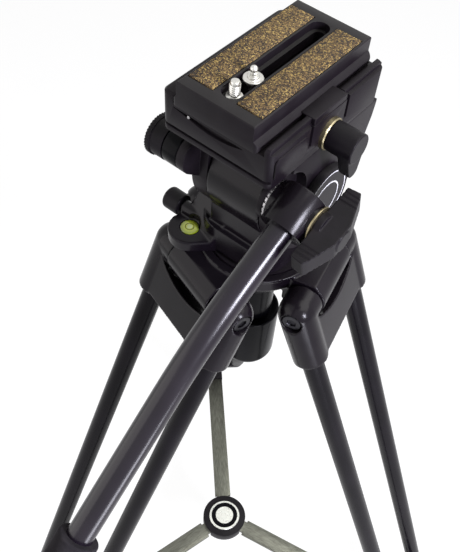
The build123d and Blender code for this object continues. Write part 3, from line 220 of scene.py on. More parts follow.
def black_finish(name, dark, light, roughness, mottle, grain, depth, painted_top_light=0.0, shine=0.12):
    """A near-black coat: two tones in soft clouds, a fine grain in relief, and painted overhead light that
    lightens what faces up towards grey-green.
    """
    material = bpy.data.materials.new(name)
    nodes, links = clean_nodes(material)
    output = nodes.new("ShaderNodeOutputMaterial")
    shader = nodes.new("ShaderNodeBsdfPrincipled")
    links.new(shader.outputs[0], output.inputs["Surface"])
    place = nodes.new("ShaderNodeTexCoord")
    clouds = nodes.new("ShaderNodeTexNoise")
    clouds.inputs["Scale"].default_value = mottle
    clouds.inputs["Detail"].default_value = 4
    tone = nodes.new("ShaderNodeValToRGB")
    tone.color_ramp.elements[0].position, tone.color_ramp.elements[1].position = 0.35, 0.68
    tone.color_ramp.elements[0].color = (*dark, 1)
    tone.color_ramp.elements[1].color = (*light, 1)
    links.new(place.outputs["Object"], clouds.inputs["Vector"])
    links.new(clouds.outputs["Fac"], tone.inputs["Fac"])
    colour = tone.outputs["Color"]
    # Faces turned up are blended towards a pale grey-green: painted light from overhead.
    if painted_top_light:
        parts = nodes.new("ShaderNodeSeparateXYZ")
        upward = nodes.new("ShaderNodeMapRange")
        upward.inputs["From Min"].default_value, upward.inputs["From Max"].default_value = 0.55, 1.0
        upward.inputs["To Min"].default_value, upward.inputs["To Max"].default_value = 0.0, painted_top_light
        top_lit_tint = nodes.new("ShaderNodeMix")
        top_lit_tint.data_type = "RGBA"
        # The pale grey-green that upward faces take on: painted overhead light.
        top_lit_tint.inputs[7].default_value = (0.30, 0.31, 0.27, 1)
        links.new(place.outputs["Normal"], parts.inputs[0])
        links.new(parts.outputs["Z"], upward.inputs["Value"])
        links.new(upward.outputs["Result"], top_lit_tint.inputs[0])
        links.new(colour, top_lit_tint.inputs[6])
        colour = top_lit_tint.outputs[2]
    links.new(colour, shader.inputs["Base Color"])
    gloss = nodes.new("ShaderNodeMapRange")
    gloss.inputs["To Min"].default_value = roughness - 0.05
    gloss.inputs["To Max"].default_value = roughness + 0.07
    links.new(clouds.outputs["Fac"], gloss.inputs["Value"])
    links.new(gloss.outputs["Result"], shader.inputs["Roughness"])
    speck = nodes.new("ShaderNodeTexNoise")
    speck.inputs["Scale"].default_value = grain
    speck.inputs["Detail"].default_value = 2
    relief = nodes.new("ShaderNodeBump")
    relief.inputs["Strength"].default_value = 0.6
    relief.inputs["Distance"].default_value = depth / 1000
    links.new(place.outputs["Object"], speck.inputs["Vector"])
    links.new(speck.outputs["Fac"], relief.inputs["Height"])
    links.new(relief.outputs["Normal"], shader.inputs["Normal"])
    shader.inputs["Specular IOR Level"].default_value = shine
    return material


# The finishes below paint overhead light onto their upward faces; this plate gets the most.
plate_paint = black_finish(
    "plate_paint", (0.0085, 0.0060, 0.0088), (0.013, 0.0105, 0.0133), 0.38, 60, 2600, 0.04, painted_top_light=0.06
)
plate = trimmed(blank_from("camera_plate", "plate_body"), 0.5, 3)
finished(plate, "plate", "platform_plate", plate_paint, "camera_plate")

# ---- Cork pads ----------------------------------------------------------------------------
# Two strips of pressed cork and rubber crumb glued into shallow recesses, so a camera can't slip.
# The crumbs are about a millimetre across, golden with dark ones between them.
cork = bpy.data.materials.new("cork_crumb")
nodes, links = clean_nodes(cork)
output = nodes.new("ShaderNodeOutputMaterial")
shader = nodes.new("ShaderNodeBsdfPrincipled")
links.new(shader.outputs[0], output.inputs["Surface"])
place = nodes.new("ShaderNodeTexCoord")
crumbs = nodes.new("ShaderNodeTexVoronoi")
crumbs.inputs["Scale"].default_value = 1450
links.new(place.outputs["Object"], crumbs.inputs["Vector"])
pick = nodes.new("ShaderNodeSeparateColor")
links.new(crumbs.outputs["Color"], pick.inputs[0])
crumb_tone = nodes.new("ShaderNodeValToRGB")
crumb_tone.color_ramp.interpolation = "LINEAR"
crumb_tone.color_ramp.elements[0].color = (0.016, 0.012, 0.010, 1)
crumb_tone.color_ramp.elements[1].color = (0.70, 0.51, 0.17, 1)
for position, tint in (
    (0.30, (0.045, 0.030, 0.018, 1)), (0.48, (0.15, 0.095, 0.040, 1)), (0.78, (0.30, 0.20, 0.080, 1)),
):
    crumb_tone.color_ramp.elements.new(position).color = tint
links.new(pick.outputs[0], crumb_tone.inputs["Fac"])
veil = nodes.new("ShaderNodeTexNoise")
veil.inputs["Scale"].default_value = 160
veil.inputs["Detail"].default_value = 5
links.new(place.outputs["Object"], veil.inputs["Vector"])
veil_tone = nodes.new("ShaderNodeValToRGB")
veil_tone.color_ramp.elements[0].position, veil_tone.color_ramp.elements[1].position = 0.3, 0.7
veil_tone.color_ramp.elements[0].color = (0.62, 0.60, 0.60, 1)
veil_tone.color_ramp.elements[1].color = (1.0, 1.0, 1.0, 1)
links.new(veil.outputs["Fac"], veil_tone.inputs["Fac"])
stained = nodes.new("ShaderNodeMix")
stained.data_type = "RGBA"
stained.blend_type = "MULTIPLY"
stained.inputs[0].default_value = 1.0
links.new(crumb_tone.outputs[0], stained.inputs[6])
links.new(veil_tone.outputs[0], stained.inputs[7])
links.new(stained.outputs[2], shader.inputs["Base Color"])
shader.inputs["Roughness"].default_value = 0.85
pits = nodes.new("ShaderNodeBump")
pits.invert = True
pits.inputs["Strength"].default_value = 0.8
pits.inputs["Distance"].default_value = 0.0003
links.new(crumbs.outputs["Distance"], pits.inputs["Height"])
links.new(pits.outputs["Normal"], shader.inputs["Normal"])
pads = trimmed(blank_from("cork_pads", "cork_strips"), 0.35)
finished(pads, "plate", "cork", cork, "cork_pads")

# ---- Camera screw and video pin -----------------------------------------------------------
# Turned and nickel-plated. The screw has a quarter-inch thread of 1.27 mm pitch over a loose collar,
# and the pin stands on a washer and a step, with a waist under its rounded top.


def turned(name, centre, axis, profile, closed=False, steps=64, crease=32):
    """A lathe piece: the profile's points are (radius, distance along the axis) in millimetres."""
    axis = Vector(axis).normalized()
    side = axis.orthogonal().normalized()
    points = [centre + (side * radius + axis * along) / 1000 for radius, along in profile]
    edges = [(i, i + 1) for i in range(len(points) - 1)]
    if closed:
        edges.append((len(points) - 1, 0))
    mesh = bpy.data.meshes.new(name)
    mesh.from_pydata(points, edges, [])
    piece = bpy.data.objects.new(name, mesh)
    bpy.context.scene.collection.objects.link(piece)
    only(piece)
    bpy.ops.object.mode_set(mode="EDIT")
    bpy.ops.mesh.select_all(action="SELECT")
    bpy.ops.mesh.spin(steps=steps, angle=2 * pi, center=centre, axis=axis)
    bpy.ops.mesh.select_all(action="SELECT")
    bpy.ops.mesh.remove_doubles(threshold=0.000003)
    bpy.ops.mesh.normals_make_consistent(inside=False)
    bpy.ops.object.mode_set(mode="OBJECT")
    return smooth(piece, crease)


def joined(pieces, name):
    bpy.ops.object.select_all(action="DESELECT")
    for piece in pieces:
        piece.select_set(True)
    bpy.context.view_layer.objects.active = pieces[0]
    bpy.ops.object.join()
    pieces[0].name = name
    return pieces[0]


def bright_metal(name, colour, roughness, scratch, depth):
    """Bare or plated metal with fine turning marks and slightly uneven polish."""
    material = bpy.data.materials.new(name)
    nodes, links = clean_nodes(material)
    output = nodes.new("ShaderNodeOutputMaterial")
    shader = nodes.new("ShaderNodeBsdfPrincipled")
    links.new(shader.outputs[0], output.inputs["Surface"])
    place = nodes.new("ShaderNodeTexCoord")
    marks = nodes.new("ShaderNodeTexNoise")
    marks.inputs["Scale"].default_value = scratch
    marks.inputs["Detail"].default_value = 3
    links.new(place.outputs["Object"], marks.inputs["Vector"])
    tone = nodes.new("ShaderNodeValToRGB")
    tone.color_ramp.elements[0].color = (*[c * 0.82 for c in colour], 1)
    tone.color_ramp.elements[1].color = (*colour, 1)
    polish = nodes.new("ShaderNodeMapRange")
    polish.inputs["To Min"].default_value = roughness * 0.7
    polish.inputs["To Max"].default_value = roughness * 1.4
    relief = nodes.new("ShaderNodeBump")
    relief.inputs["Strength"].default_value = 0.4
    relief.inputs["Distance"].default_value = depth / 1000
    links.new(marks.outputs["Fac"], tone.inputs["Fac"])
    links.new(tone.outputs[0], shader.inputs["Base Color"])
    links.new(marks.outputs["Fac"], polish.inputs["Value"])
    links.new(polish.outputs["Result"], shader.inputs["Roughness"])
    links.new(marks.outputs["Fac"], relief.inputs["Height"])
    links.new(relief.outputs["Normal"], shader.inputs["Normal"])
    shader.inputs["Metallic"].default_value = 1.0
    return material


nickel = bright_metal("nickel", (0.72, 0.71, 0.67), 0.3, 900, 0.01)
up = Vector((0, 0, 1))
_, plate_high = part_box("camera_plate")
screw_low, screw_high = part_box("camera_screw")
screw_place = Vector(((screw_low.x + screw_high.x) / 2, (screw_low.y + screw_high.y) / 2, plate_high.z))
screw_stand = (screw_high.z - plate_high.z) * 1000
thread_pitch, thread_root, thread_crest = 1.27, 2.62, 3.175
screw_core = turned(
    "screw_core", screw_place, up,
    [(0, -13), (6.4, -13), (6.6, -12.6), (6.6, -11.6), (2.8, -11.6), (2.8, -4.9), (4.7, -4.9), (4.9, -4.6),
     (4.9, -3.95), (4.6, -3.7), (3.3, -3.6), (thread_root + 0.1, -3.2),
     (thread_root + 0.1, screw_stand - 1.0),
     (2.3, screw_stand - 0.15), (1.9, screw_stand - 0.02), (0, screw_stand - 0.02)],
)
thread_below_plate = 0.0031
thread_start = screw_place - up * thread_below_plate
thread_flank = (
    (thread_root, 0), (thread_crest - 0.05, 0.45), (thread_crest, 0.6), (thread_crest - 0.05, 0.75),
    (thread_root, thread_pitch),
)
thread_mesh = bpy.data.meshes.new("screw_thread")
thread_mesh.from_pydata(
    [thread_start + Vector((radius, 0, rise)) / 1000 for radius, rise in thread_flank],
    [(0, 1), (1, 2), (2, 3), (3, 4)], [],
)
thread = bpy.data.objects.new("screw_thread", thread_mesh)
bpy.context.scene.collection.objects.link(thread)
only(thread)
thread_turns, steps_per_turn = 5, 36
bpy.ops.object.mode_set(mode="EDIT")
bpy.ops.mesh.select_all(action="SELECT")
bpy.ops.mesh.spin(
    steps=steps_per_turn * thread_turns, angle=2 * pi * thread_turns, center=thread_start, axis=up,
)
bpy.ops.object.mode_set(mode="OBJECT")
for index, point in enumerate(thread.data.vertices):
    point.co.z += thread_pitch / 1000 * (index // len(thread_flank)) / steps_per_turn
only(thread)
bpy.ops.object.mode_set(mode="EDIT")
bpy.ops.mesh.select_all(action="SELECT")
bpy.ops.mesh.remove_doubles(threshold=0.000003)
bpy.ops.mesh.normals_make_consistent(inside=False)
bpy.ops.object.mode_set(mode="OBJECT")
smooth(thread)
screw = joined([screw_core, thread], "screw_body")
finished(screw, "screw", "nickel", nickel, "camera_screw")

pin_low, pin_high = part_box("video_pin")
pin_place = Vector(((pin_low.x + pin_high.x) / 2, (pin_low.y + pin_high.y) / 2, plate_high.z))
pin_stand = (pin_high.z - plate_high.z) * 1000
pin_radius = 2.3
pin_top = [
    (pin_radius * cos(radians(angle)), pin_stand - pin_radius + pin_radius * sin(radians(angle)))
    for angle in (-40, -20, 0, 20, 40, 60, 75, 90)
]
pin = turned(
    "pin_body", pin_place, up,
    [(0, -12), (1.9, -12), (1.9, -2.2), (5.5, -2.2), (5.8, -2.0), (5.8, -1.0), (5.5, -0.75),
     (3.5, -0.72), (3.3, -0.6),
     (3.2, 0.3), (3.0, 0.5), (2.0, 0.5), (2.0, 2.2), (1.5, 2.5), (1.5, pin_stand - 4.2)] + pin_top,
)
finished(pin, "pin", "nickel", nickel, "video_pin")

# ---- Tilt platform and clamp jaw ----------------------------------------------------------
# A die casting with a channel for the plate, open in the middle of its right rail for the clamp jaw.
# A small steel pin stands in the finger slot of its rear wall.
casting_paint = black_finish(
    "casting_paint", (0.0065, 0.0043, 0.0070), (0.0105, 0.0078, 0.0112), 0.42, 45, 1500, 0.05, painted_top_light=0.02
)
satin_paint = black_finish(
    "satin_paint", (0.0052, 0.0034, 0.0062), (0.009, 0.0066, 0.0100), 0.22, 45, 1100, 0.02,
    painted_top_light=0.01, shine=0.18,
)
steel = bright_metal("turned_steel", (0.42, 0.41, 0.42), 0.32, 700, 0.02)
platform = trimmed(blank_from("tilt_platform", "platform_casting"), 0.45, 2)
finished(platform, "tilt_body", "black_casting", casting_paint, "tilt_platform")
jaw = trimmed(blank_from("clamp_jaw", "jaw_casting"), 0.5, 3)
finished(jaw, "jaw", "black_casting", casting_paint, "clamp_jaw")
slot_pin = turned(
    "slot_pin", at(-18.9, -55.2, 142.6), (0, -1, 0), [(0, 0), (0.95, 0), (0.95, 1.5), (0.6, 1.8), (0, 1.8)]
)
finished(slot_pin, "tilt_body", "steel", steel)

# ---- Plate lock ---------------------------------------------------------------------------
# A moulded knob with one finger wing turns on a brass collar and draws the jaw against the plate.
# The collar is plain turned brass.
brass = bright_metal("collar_brass", (0.36, 0.31, 0.19), 0.36, 800, 0.01)
collar_low, collar_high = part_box("plate_lock_collar")
collar_radius = (collar_high.z - collar_low.z) * 500 - 0.05
collar_middle = (collar_low + collar_high) / 2
collar_place = Vector((collar_low.x, collar_middle.y, collar_middle.z))
collar = turned(
    "lock_collar", collar_place, (1, 0, 0),
    [(3.1, 0), (collar_radius, 0), (collar_radius, 2.3), (collar_radius - 0.6, 3.0), (3.1, 3.0)],
    closed=True,
)
finished(collar, "tilt_body", "brass", brass, "plate_lock_collar")


def cast(piece, voxel, soften, keep=0.5):
    """Gives a blank the soft inner and outer corners of a casting or moulding; voxel is in millimetres."""
    only(piece)
    skin = piece.modifiers.new("skin", "REMESH")
    skin.mode = "VOXEL"
    skin.voxel_size = voxel / 1000
    soft = piece.modifiers.new("soft", "SMOOTH")
    soft.factor = 0.5
    soft.iterations = soften
    thin = piece.modifiers.new("thin", "DECIMATE")
    thin.ratio = keep
    for name in (skin.name, soft.name, thin.name):
        bpy.ops.object.modifier_apply(modifier=name)
    return smooth(piece, 50)


knob_plastic = black_finish(
    "knob_plastic", (0.006, 0.0048, 0.0068), (0.011, 0.0088, 0.0120), 0.40, 70, 2200, 0.03, painted_top_light=0.02
)
lock_knob = cast(blank_from("plate_lock_knob", "lock_knob_moulding"), 0.4, 3)
finished(lock_knob, "plate_lock", "black_plastic", knob_plastic, "plate_lock_knob")

# ---- Tilt head: cheeks, shaft and cap -----------------------------------------------------
# Two cast cheeks hang from the platform and turn on a steel shaft through the drum.
# The right one carries a round cap with plain white rings, and a long line is cut into its side.
left_cheek = trimmed(blank_from("left_cheek", "left_cheek_casting"), 0.9, 3)
finished(left_cheek, "tilt_body", "black_casting", casting_paint, "left_cheek")
right_cheek = trimmed(blank_from("right_cheek", "right_cheek_casting"), 0.6, 3)
finished(right_cheek, "tilt_body", "black_casting", casting_paint, "right_cheek")
for node, name, body in (("tilt_shaft", "shaft", "tilt_body"), ("tilt_bearings", "bearings", "pan_body")):
    finished(smooth(blank_from(node, name)), body, "steel", steel, node)
spring_low, spring_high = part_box("counterbalance_spring")
spring_centre = (spring_low + spring_high) / 2
wire_radius, coil_radius = 0.0013, 0.017
coil_curve = bpy.data.curves.new("coil", "CURVE")
coil_curve.dimensions = "3D"
coil_curve.bevel_depth = wire_radius
coil_curve.bevel_resolution = 3
coil_line = coil_curve.splines.new("POLY")
coil_turns, coil_steps = 5, 32
coil_line.points.add(coil_turns * coil_steps)
coil_half = (spring_high.x - spring_low.x) / 2 - wire_radius
for i, point in enumerate(coil_line.points):
    turn = 2 * pi * i / coil_steps
    along = -coil_half + 2 * coil_half * i / (coil_turns * coil_steps)
    spot = spring_centre + Vector((along, coil_radius * cos(turn), coil_radius * sin(turn)))
    point.co = (*spot, 1)
coil = bpy.data.objects.new("spring_coil", coil_curve)
bpy.context.scene.collection.objects.link(coil)
only(coil)
bpy.ops.object.convert(target="MESH")
finished(bpy.context.active_object, "pan_body", "steel", steel, "counterbalance_spring")

cap_low, cap_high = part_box("tilt_cap")
cap_place = Vector((cap_low.x, (cap_low.y + cap_high.y) / 2, (cap_low.z + cap_high.z) / 2))
cap_high_mm = (cap_high.x - cap_low.x) * 1000
cap_face = [(24.0, 0), (24.5, 0.5), (24.5, cap_high_mm - 1.6), (24.0, cap_high_mm - 0.4),
            (23.3, cap_high_mm), (22.6, cap_high_mm), (22.3, cap_high_mm - 0.5), (0, cap_high_mm - 0.5)]
cap = turned("cap_disc", cap_place, (1, 0, 0), [(0, 0)] + cap_face)
finished(cap, "tilt_body", "black_plastic", knob_plastic, "tilt_cap")
ring_white = bpy.data.materials.new("ring_white")
nodes, links = clean_nodes(ring_white)
output = nodes.new("ShaderNodeOutputMaterial")
shader = nodes.new("ShaderNodeBsdfPrincipled")
links.new(shader.outputs[0], output.inputs["Surface"])
place = nodes.new("ShaderNodeTexCoord")
print_marks = nodes.new("ShaderNodeTexNoise")
print_marks.inputs["Scale"].default_value = 500
print_tone = nodes.new("ShaderNodeValToRGB")
print_tone.color_ramp.elements[0].color = (0.55, 0.55, 0.58, 1)
print_tone.color_ramp.elements[1].color = (0.82, 0.82, 0.84, 1)
links.new(place.outputs["Object"], print_marks.inputs["Vector"])
links.new(print_marks.outputs["Fac"], print_tone.inputs["Fac"])
links.new(print_tone.outputs[0], shader.inputs["Base Color"])
shader.inputs["Roughness"].default_value = 0.45
for number, (inner, outer) in enumerate(((21.0, 22.1), (13.4, 14.5)), 1):
    top = cap_high_mm - 0.5
    ring = turned(
        f"cap_ring_{number}", cap_place, (1, 0, 0),
        [(inner, top - 0.1), (inner, top + 0.1), (inner + 0.1, top + 0.15),
         (outer - 0.1, top + 0.15), (outer, top + 0.1), (outer, top - 0.1)],
        closed=True,
    )
    finished(ring, "tilt_body", "silver", ring_white)

# ---- Tilt lock ----------------------------------------------------------------------------
# A knurled plastic knob on a glossy barrel at the left cheek squeezes the tilt brake.
gloss_black = black_finish(
    "gloss_black", (0.003, 0.003, 0.0045), (0.005, 0.005, 0.0065), 0.2, 80, 1500, 0.02, shine=0.06
)
barrel = trimmed(blank_from("tilt_lock_barrel", "tilt_lock_barrel_body"), 1.2, 3)
finished(barrel, "tilt_body", "gloss_plastic", gloss_black, "tilt_lock_barrel")
tilt_knob = trimmed(blank_from("tilt_lock_knob", "tilt_lock_knurl"), 0.5, 2, 45)
finished(tilt_knob, "tilt_lock", "black_plastic", knob_plastic, "tilt_lock_knob")

# ---- Pan handle ---------------------------------------------------------------------------
# A toothed steel ring on the cheek holds the cast socket; a black anodised tube runs from it, bent a
# little, to a foam grip. A brass washer and a wing knob with ribbed ends clamp it.
rosette = trimmed(blank_from("handle_rosette", "rosette_ring"), 0.15)
finished(rosette, "tilt_body", "steel", steel, "handle_rosette")
socket = trimmed(blank_from("handle_socket", "socket_casting"), 0.7, 3)
finished(socket, "handle", "black_casting", satin_paint, "handle_socket")
tube_black = black_finish(
    "tube_black", (0.008, 0.0052, 0.0105), (0.012, 0.0085, 0.015), 0.22, 30, 3000, 0.004, shine=0.4
)
pipe = smooth(blank_from("handle_tube", "handle_pipe", False))
finished(pipe, "handle", "black_tube", tube_black, "handle_tube")
foam = black_finish("grip_foam", (0.022, 0.020, 0.024), (0.040, 0.037, 0.042), 0.85, 120, 900, 0.25)
grip = smooth(blank_from("handle_grip", "grip_sleeve"))
finished(grip, "handle", "foam", foam, "handle_grip")
washer = trimmed(blank_from("handle_washer", "wing_washer"), 0.3)
finished(washer, "handle", "brass", brass, "handle_washer")

wing = blank_from("wing_knob", "wing_moulding")
wing_tilt = radians(14.3)
wing_along = Vector((0, cos(wing_tilt), sin(wing_tilt)))
wing_across = Vector((0, -sin(wing_tilt), cos(wing_tilt)))
_, wing_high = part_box("wing_knob")
wing_face = (wing_high.x - head.x) * 1000
wing_bolt_y, wing_bolt_z = -38.5, 102.0
wing_centre = Vector((wing_face, wing_bolt_y, wing_bolt_z))
turn_to_bar = Matrix((Vector((1, 0, 0)), wing_along, wing_across)).transposed().to_4x4()


def cut_away(piece, cutters):
    for cutter in cutters:
        only(piece)
        cut = piece.modifiers.new("cut", "BOOLEAN")
        cut.operation = "DIFFERENCE"
        cut.solver = "EXACT"
        cut.object = cutter
        bpy.ops.object.modifier_apply(modifier=cut.name)
        bpy.data.objects.remove(cutter)
    return piece


rib_start, rib_pitch, ribs_per_end, wing_half_width = 17.5, 3.0, 3, 7.0
rib_reach, rib_width, rib_depth = 0.06, 0.0012, 0.0014
rib_cutters = []
for end in (-1, 1):
    for step in range(ribs_per_end):
        for face in (-1, 1):
            out = wing_along * end * (rib_start + rib_pitch * step)
            spot = at(*(wing_centre + out + wing_across * face * wing_half_width))
            bpy.ops.object.select_all(action="DESELECT")
            bpy.ops.mesh.primitive_cube_add(size=1)
            cutter = bpy.context.active_object
            cutter.data.transform(
                Matrix.Translation(spot) @ turn_to_bar @ Matrix.Diagonal((rib_reach, rib_width, rib_depth, 1))
            )
            rib_cutters.append(cutter)
cut_away(wing, rib_cutters)
wing = cast(wing, 0.4, 2)
finished(wing, "wing", "black_plastic", knob_plastic, "wing_knob")

# ---- Pan housing, level and pan lock ------------------------------------------------------
# One casting holds the drum, the block that pans on the half ball and the round pod of the level.
# The level is a clear vial of yellow-green spirit with one black ring and an air bubble.
housing = cast(blank_from("pan_housing", "housing_casting"), 0.7, 3, 0.6)
finished(housing, "pan_body", "black_casting", satin_paint, "pan_housing")

vial_low, vial_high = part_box("level_vial")
vial_place = Vector(((vial_low.x + vial_high.x) / 2, (vial_low.y + vial_high.y) / 2, vial_high.z))
spirit = bpy.data.materials.new("level_spirit")
nodes, links = clean_nodes(spirit)
output = nodes.new("ShaderNodeOutputMaterial")
shader = nodes.new("ShaderNodeBsdfPrincipled")
links.new(shader.outputs[0], output.inputs["Surface"])
place = nodes.new("ShaderNodeTexCoord")
offset = nodes.new("ShaderNodeVectorMath")
offset.operation = "DISTANCE"
offset.inputs[1].default_value = vial_place + Vector((0, 0, -0.002))
reach = nodes.new("ShaderNodeMapRange")
reach.inputs["From Max"].default_value = 0.0064
# Over its yellow-green colour, the spirit is lighter in a ring around the middle and darker towards the rim:
# painted light through the spirit and painted shade at its rim.
spirit_colour_and_shading = nodes.new("ShaderNodeValToRGB")
spirit_colour_and_shading.color_ramp.elements[0].color = (0.50, 0.60, 0.05, 1)
spirit_colour_and_shading.color_ramp.elements[1].color = (0.30, 0.38, 0.02, 1)
spirit_colour_and_shading.color_ramp.elements.new(0.6).color = (0.62, 0.72, 0.06, 1)
links.new(place.outputs["Object"], offset.inputs[0])
links.new(offset.outputs["Value"], reach.inputs["Value"])
links.new(reach.outputs["Result"], spirit_colour_and_shading.inputs["Fac"])
links.new(spirit_colour_and_shading.outputs[0], shader.inputs["Base Color"])
shader.inputs["Roughness"].default_value = 0.08
shader.inputs["Coat Weight"].default_value = 0.6
vial = turned(
    "vial_dome", vial_place, up,
    [(0, -4.3), (6.3, -4.3), (6.35, -0.5), (6.0, -0.2), (4.5, -0.06), (2.5, 0), (0, 0)],
)
finished(vial, "pan_body", "vial", spirit, "level_vial")
ring_black = turned(
    "vial_ring", vial_place, up,
    [(2.75, -0.1), (2.75, 0.03), (3.2, 0.01), (3.2, -0.1)], closed=True, steps=48,
)
finished(ring_black, "pan_body", "gloss_plastic", gloss_black)
bubble_clear = bright_metal("bubble_clear", (0.75, 0.85, 0.35), 0.1, 300, 0.001)
bubble_clear.node_tree.nodes["Principled BSDF"].inputs["Metallic"].default_value = 0.0
bubble = turned(
    "vial_bubble", vial_place, up, [(0, -0.2), (2.0, -0.2), (1.9, 0.0), (1.4, 0.06), (0, 0.1)], steps=40
)
finished(bubble, "pan_body", "vial", bubble_clear)
pan_knob = cast(blank_from("pan_lock_knob", "pan_lock_moulding"), 0.5, 2)
finished(pan_knob, "pan_lock", "black_plastic", knob_plastic, "pan_lock_knob")

# ---- Half ball, spindle, clamp cup and tie-down knob --------------------------------------
# The head stands on a 75 mm half ball in the bowl; a stud through it carries the clamp cup and the
# long moulded knob that pulls the ball down.
ball = smooth(blank_from("half_ball", "ball_casting"))
finished(ball, "ball_head", "black_casting", casting_paint, "half_ball")
spindle = trimmed(blank_from("pan_spindle", "spindle_bar"), 0.4)
finished(spindle, "ball_head", "steel", steel, "pan_spindle")
cup = smooth(blank_from("clamp_cup", "cup_moulding"))
finished(cup, "ball_head", "black_plastic", knob_plastic, "clamp_cup")
tie_knob = smooth(blank_from("tie_down_knob", "tie_down_moulding"))
finished(tie_knob, "tie_down", "gloss_plastic", gloss_black, "tie_down_knob")

# ---- Bowl with leg lobes, hinge bolts -----------------------------------------------------
# The bowl and its three lobes are one casting. Each leg turns on a through bolt whose socket heads
# sit in round recesses at both ends.
bowl = cast(blank_from("crown", "bowl_casting"), 0.8, 3, 0.5)
finished(bowl, "crown", "black_casting", satin_paint, "crown")
leg_azimuths = (13.16, 133.16, 253.16)
hinge_radius, bolt_face = 47.5, 49.0
key_radius, key_depth = 0.0036, 0.0018
bolts = smooth(blank_from("hinge_bolts", "hinge_bolt_set"))
sockets = []
for azimuth in leg_azimuths:
    outward = Vector((cos(radians(azimuth)), sin(radians(azimuth)), 0))
    tangent = Vector((outward.y, -outward.x, 0))
    for end in (-1, 1):
        bpy.ops.object.select_all(action="DESELECT")
        bpy.ops.mesh.primitive_cylinder_add(vertices=6, radius=key_radius, depth=2 * key_depth)
        key = bpy.context.active_object
        key.data.transform(
            Matrix.Translation(at(*(outward * hinge_radius + tangent * end * bolt_face)))
            @ tangent.to_track_quat("Z", "Y").to_matrix().to_4x4()
        )
        sockets.append(key)
bolts = trimmed(cut_away(bolts, sockets), 0.35, 2)
bolt_steel = bright_metal("bolt_steel", (0.035, 0.034, 0.040), 0.3, 900, 0.02)
finished(bolts, "crown", "steel", bolt_steel, "hinge_bolts")

# ---- Legs ---------------------------------------------------------------------------------
# Each leg is a cast yoke with two sockets, two black anodised tubes, a moulded collar with a
# locking lever, two thinner tubes that slide in the first, and a moulded bridge on a rubber foot.
leg_black = black_finish(
    "leg_black", (0.0045, 0.0036, 0.0055), (0.0075, 0.006, 0.009), 0.24, 30, 3000, 0.004, shine=0.1
)
rubber = black_finish("foot_rubber", (0.018, 0.018, 0.018), (0.030, 0.030, 0.030), 0.75, 90, 1200, 0.08)
for number in (1, 2, 3):
    leg, lever, lower = f"leg_{number}", f"lever_body_{number}", f"lower_leg_{number}"
    yoke = cast(blank_from(f"leg_yoke_{number}", f"yoke_casting_{number}"), 0.7, 8, 0.5)
    finished(yoke, leg, "black_casting", satin_paint, f"leg_yoke_{number}")
    tubes = smooth(blank_from(f"upper_tubes_{number}", f"outer_tubes_{number}", False))
    finished(tubes, leg, "black_tube", leg_black, f"upper_tubes_{number}")
    collar = trimmed(blank_from(f"leg_collar_{number}", f"collar_moulding_{number}"), 0.8, 2)
    finished(collar, leg, "black_plastic", knob_plastic, f"leg_collar_{number}")
    flap = trimmed(blank_from(f"leg_lever_{number}", f"lever_moulding_{number}"), 0.7, 2)
    finished(flap, lever, "black_plastic", knob_plastic, f"leg_lever_{number}")
    inner = smooth(blank_from(f"lower_tubes_{number}", f"inner_tubes_{number}", False))
    finished(inner, lower, "black_tube", leg_black, f"lower_tubes_{number}")
    bridge = trimmed(blank_from(f"foot_bridge_{number}", f"bridge_moulding_{number}"), 0.8, 2)
    finished(bridge, lower, "black_plastic", knob_plastic, f"foot_bridge_{number}")
    foot = smooth(blank_from(f"rubber_foot_{number}", f"foot_ball_{number}"))
    finished(foot, lower, "rubber", rubber, f"rubber_foot_{number}")

# ---- Spreader -----------------------------------------------------------------------------
# A moulded hub with a silver cap holds three flat brushed arms; each ends in a moulded fork that
# turns on the leg's collar.


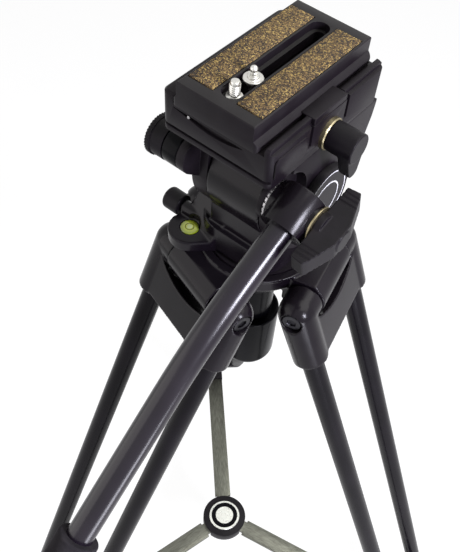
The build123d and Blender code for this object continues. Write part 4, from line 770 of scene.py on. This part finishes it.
def brushed_strip(name, azimuth):
    """Dark brushed aluminium with long streaks along the arm."""
    material = bpy.data.materials.new(name)
    nodes, links = clean_nodes(material)
    output = nodes.new("ShaderNodeOutputMaterial")
    shader = nodes.new("ShaderNodeBsdfPrincipled")
    links.new(shader.outputs[0], output.inputs["Surface"])
    place = nodes.new("ShaderNodeTexCoord")
    swing = nodes.new("ShaderNodeMapping")
    swing.inputs["Rotation"].default_value = (0, 0, -radians(azimuth))
    stretch = nodes.new("ShaderNodeMapping")
    stretch.inputs["Scale"].default_value = (12, 1500, 1500)
    streaks = nodes.new("ShaderNodeTexNoise")
    streaks.inputs["Scale"].default_value = 1
    streaks.inputs["Detail"].default_value = 4
    tone = nodes.new("ShaderNodeValToRGB")
    tone.color_ramp.elements[0].position, tone.color_ramp.elements[1].position = 0.3, 0.7
    tone.color_ramp.elements[0].color = (0.10, 0.10, 0.082, 1)
    tone.color_ramp.elements[1].color = (0.21, 0.215, 0.18, 1)
    links.new(place.outputs["Object"], swing.inputs["Vector"])
    links.new(swing.outputs[0], stretch.inputs["Vector"])
    links.new(stretch.outputs[0], streaks.inputs["Vector"])
    links.new(streaks.outputs["Fac"], tone.inputs["Fac"])
    links.new(tone.outputs[0], shader.inputs["Base Color"])
    relief = nodes.new("ShaderNodeBump")
    relief.inputs["Strength"].default_value = 0.5
    relief.inputs["Distance"].default_value = 0.00005
    links.new(streaks.outputs["Fac"], relief.inputs["Height"])
    links.new(relief.outputs["Normal"], shader.inputs["Normal"])
    shader.inputs["Metallic"].default_value = 0.9
    shader.inputs["Roughness"].default_value = 0.38
    return material


hub = trimmed(blank_from("spreader_hub", "hub_moulding"), 0.8, 3)
finished(hub, "hub", "black_plastic", knob_plastic, "spreader_hub")
silver = bright_metal("cap_silver", (0.78, 0.79, 0.74), 0.28, 400, 0.01)
disc_low, disc_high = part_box("hub_cap")
disc_place = Vector(((disc_low.x + disc_high.x) / 2, (disc_low.y + disc_high.y) / 2, disc_low.z))
disc = turned(
    "hub_disc", disc_place, up,
    [(0, 0), (19.3, 0), (19.5, 0.2), (19.5, 2.0), (18.9, 2.6), (17.0, 2.6), (16.8, 2.2),
     (11.4, 2.2), (11.2, 2.6), (9.6, 2.6), (9.4, 2.2), (0, 2.2)],
)
finished(disc, "hub", "silver", silver, "hub_cap")
groove = turned(
    "hub_groove", disc_place, up, [(11.5, 2.1), (16.7, 2.1), (16.7, 2.26), (11.5, 2.26)], closed=True
)
finished(groove, "hub", "black_plastic", gloss_black)
for number, azimuth in enumerate(leg_azimuths, 1):
    arm = trimmed(blank_from(f"spreader_arm_{number}", f"arm_strip_{number}"), 0.5, 2)
    brushed = brushed_strip(f"arm_brushed_{number}", azimuth)
    finished(arm, f"arm_{number}", "arm_metal", brushed, f"spreader_arm_{number}")
    fork = trimmed(blank_from(f"arm_end_{number}", f"arm_fork_{number}"), 0.8, 3)
    finished(fork, f"arm_{number}", "black_plastic", knob_plastic, f"arm_end_{number}")

# ---- View transform -----------------------------------------------------------------------
bpy.context.scene.view_settings.view_transform = "Standard"
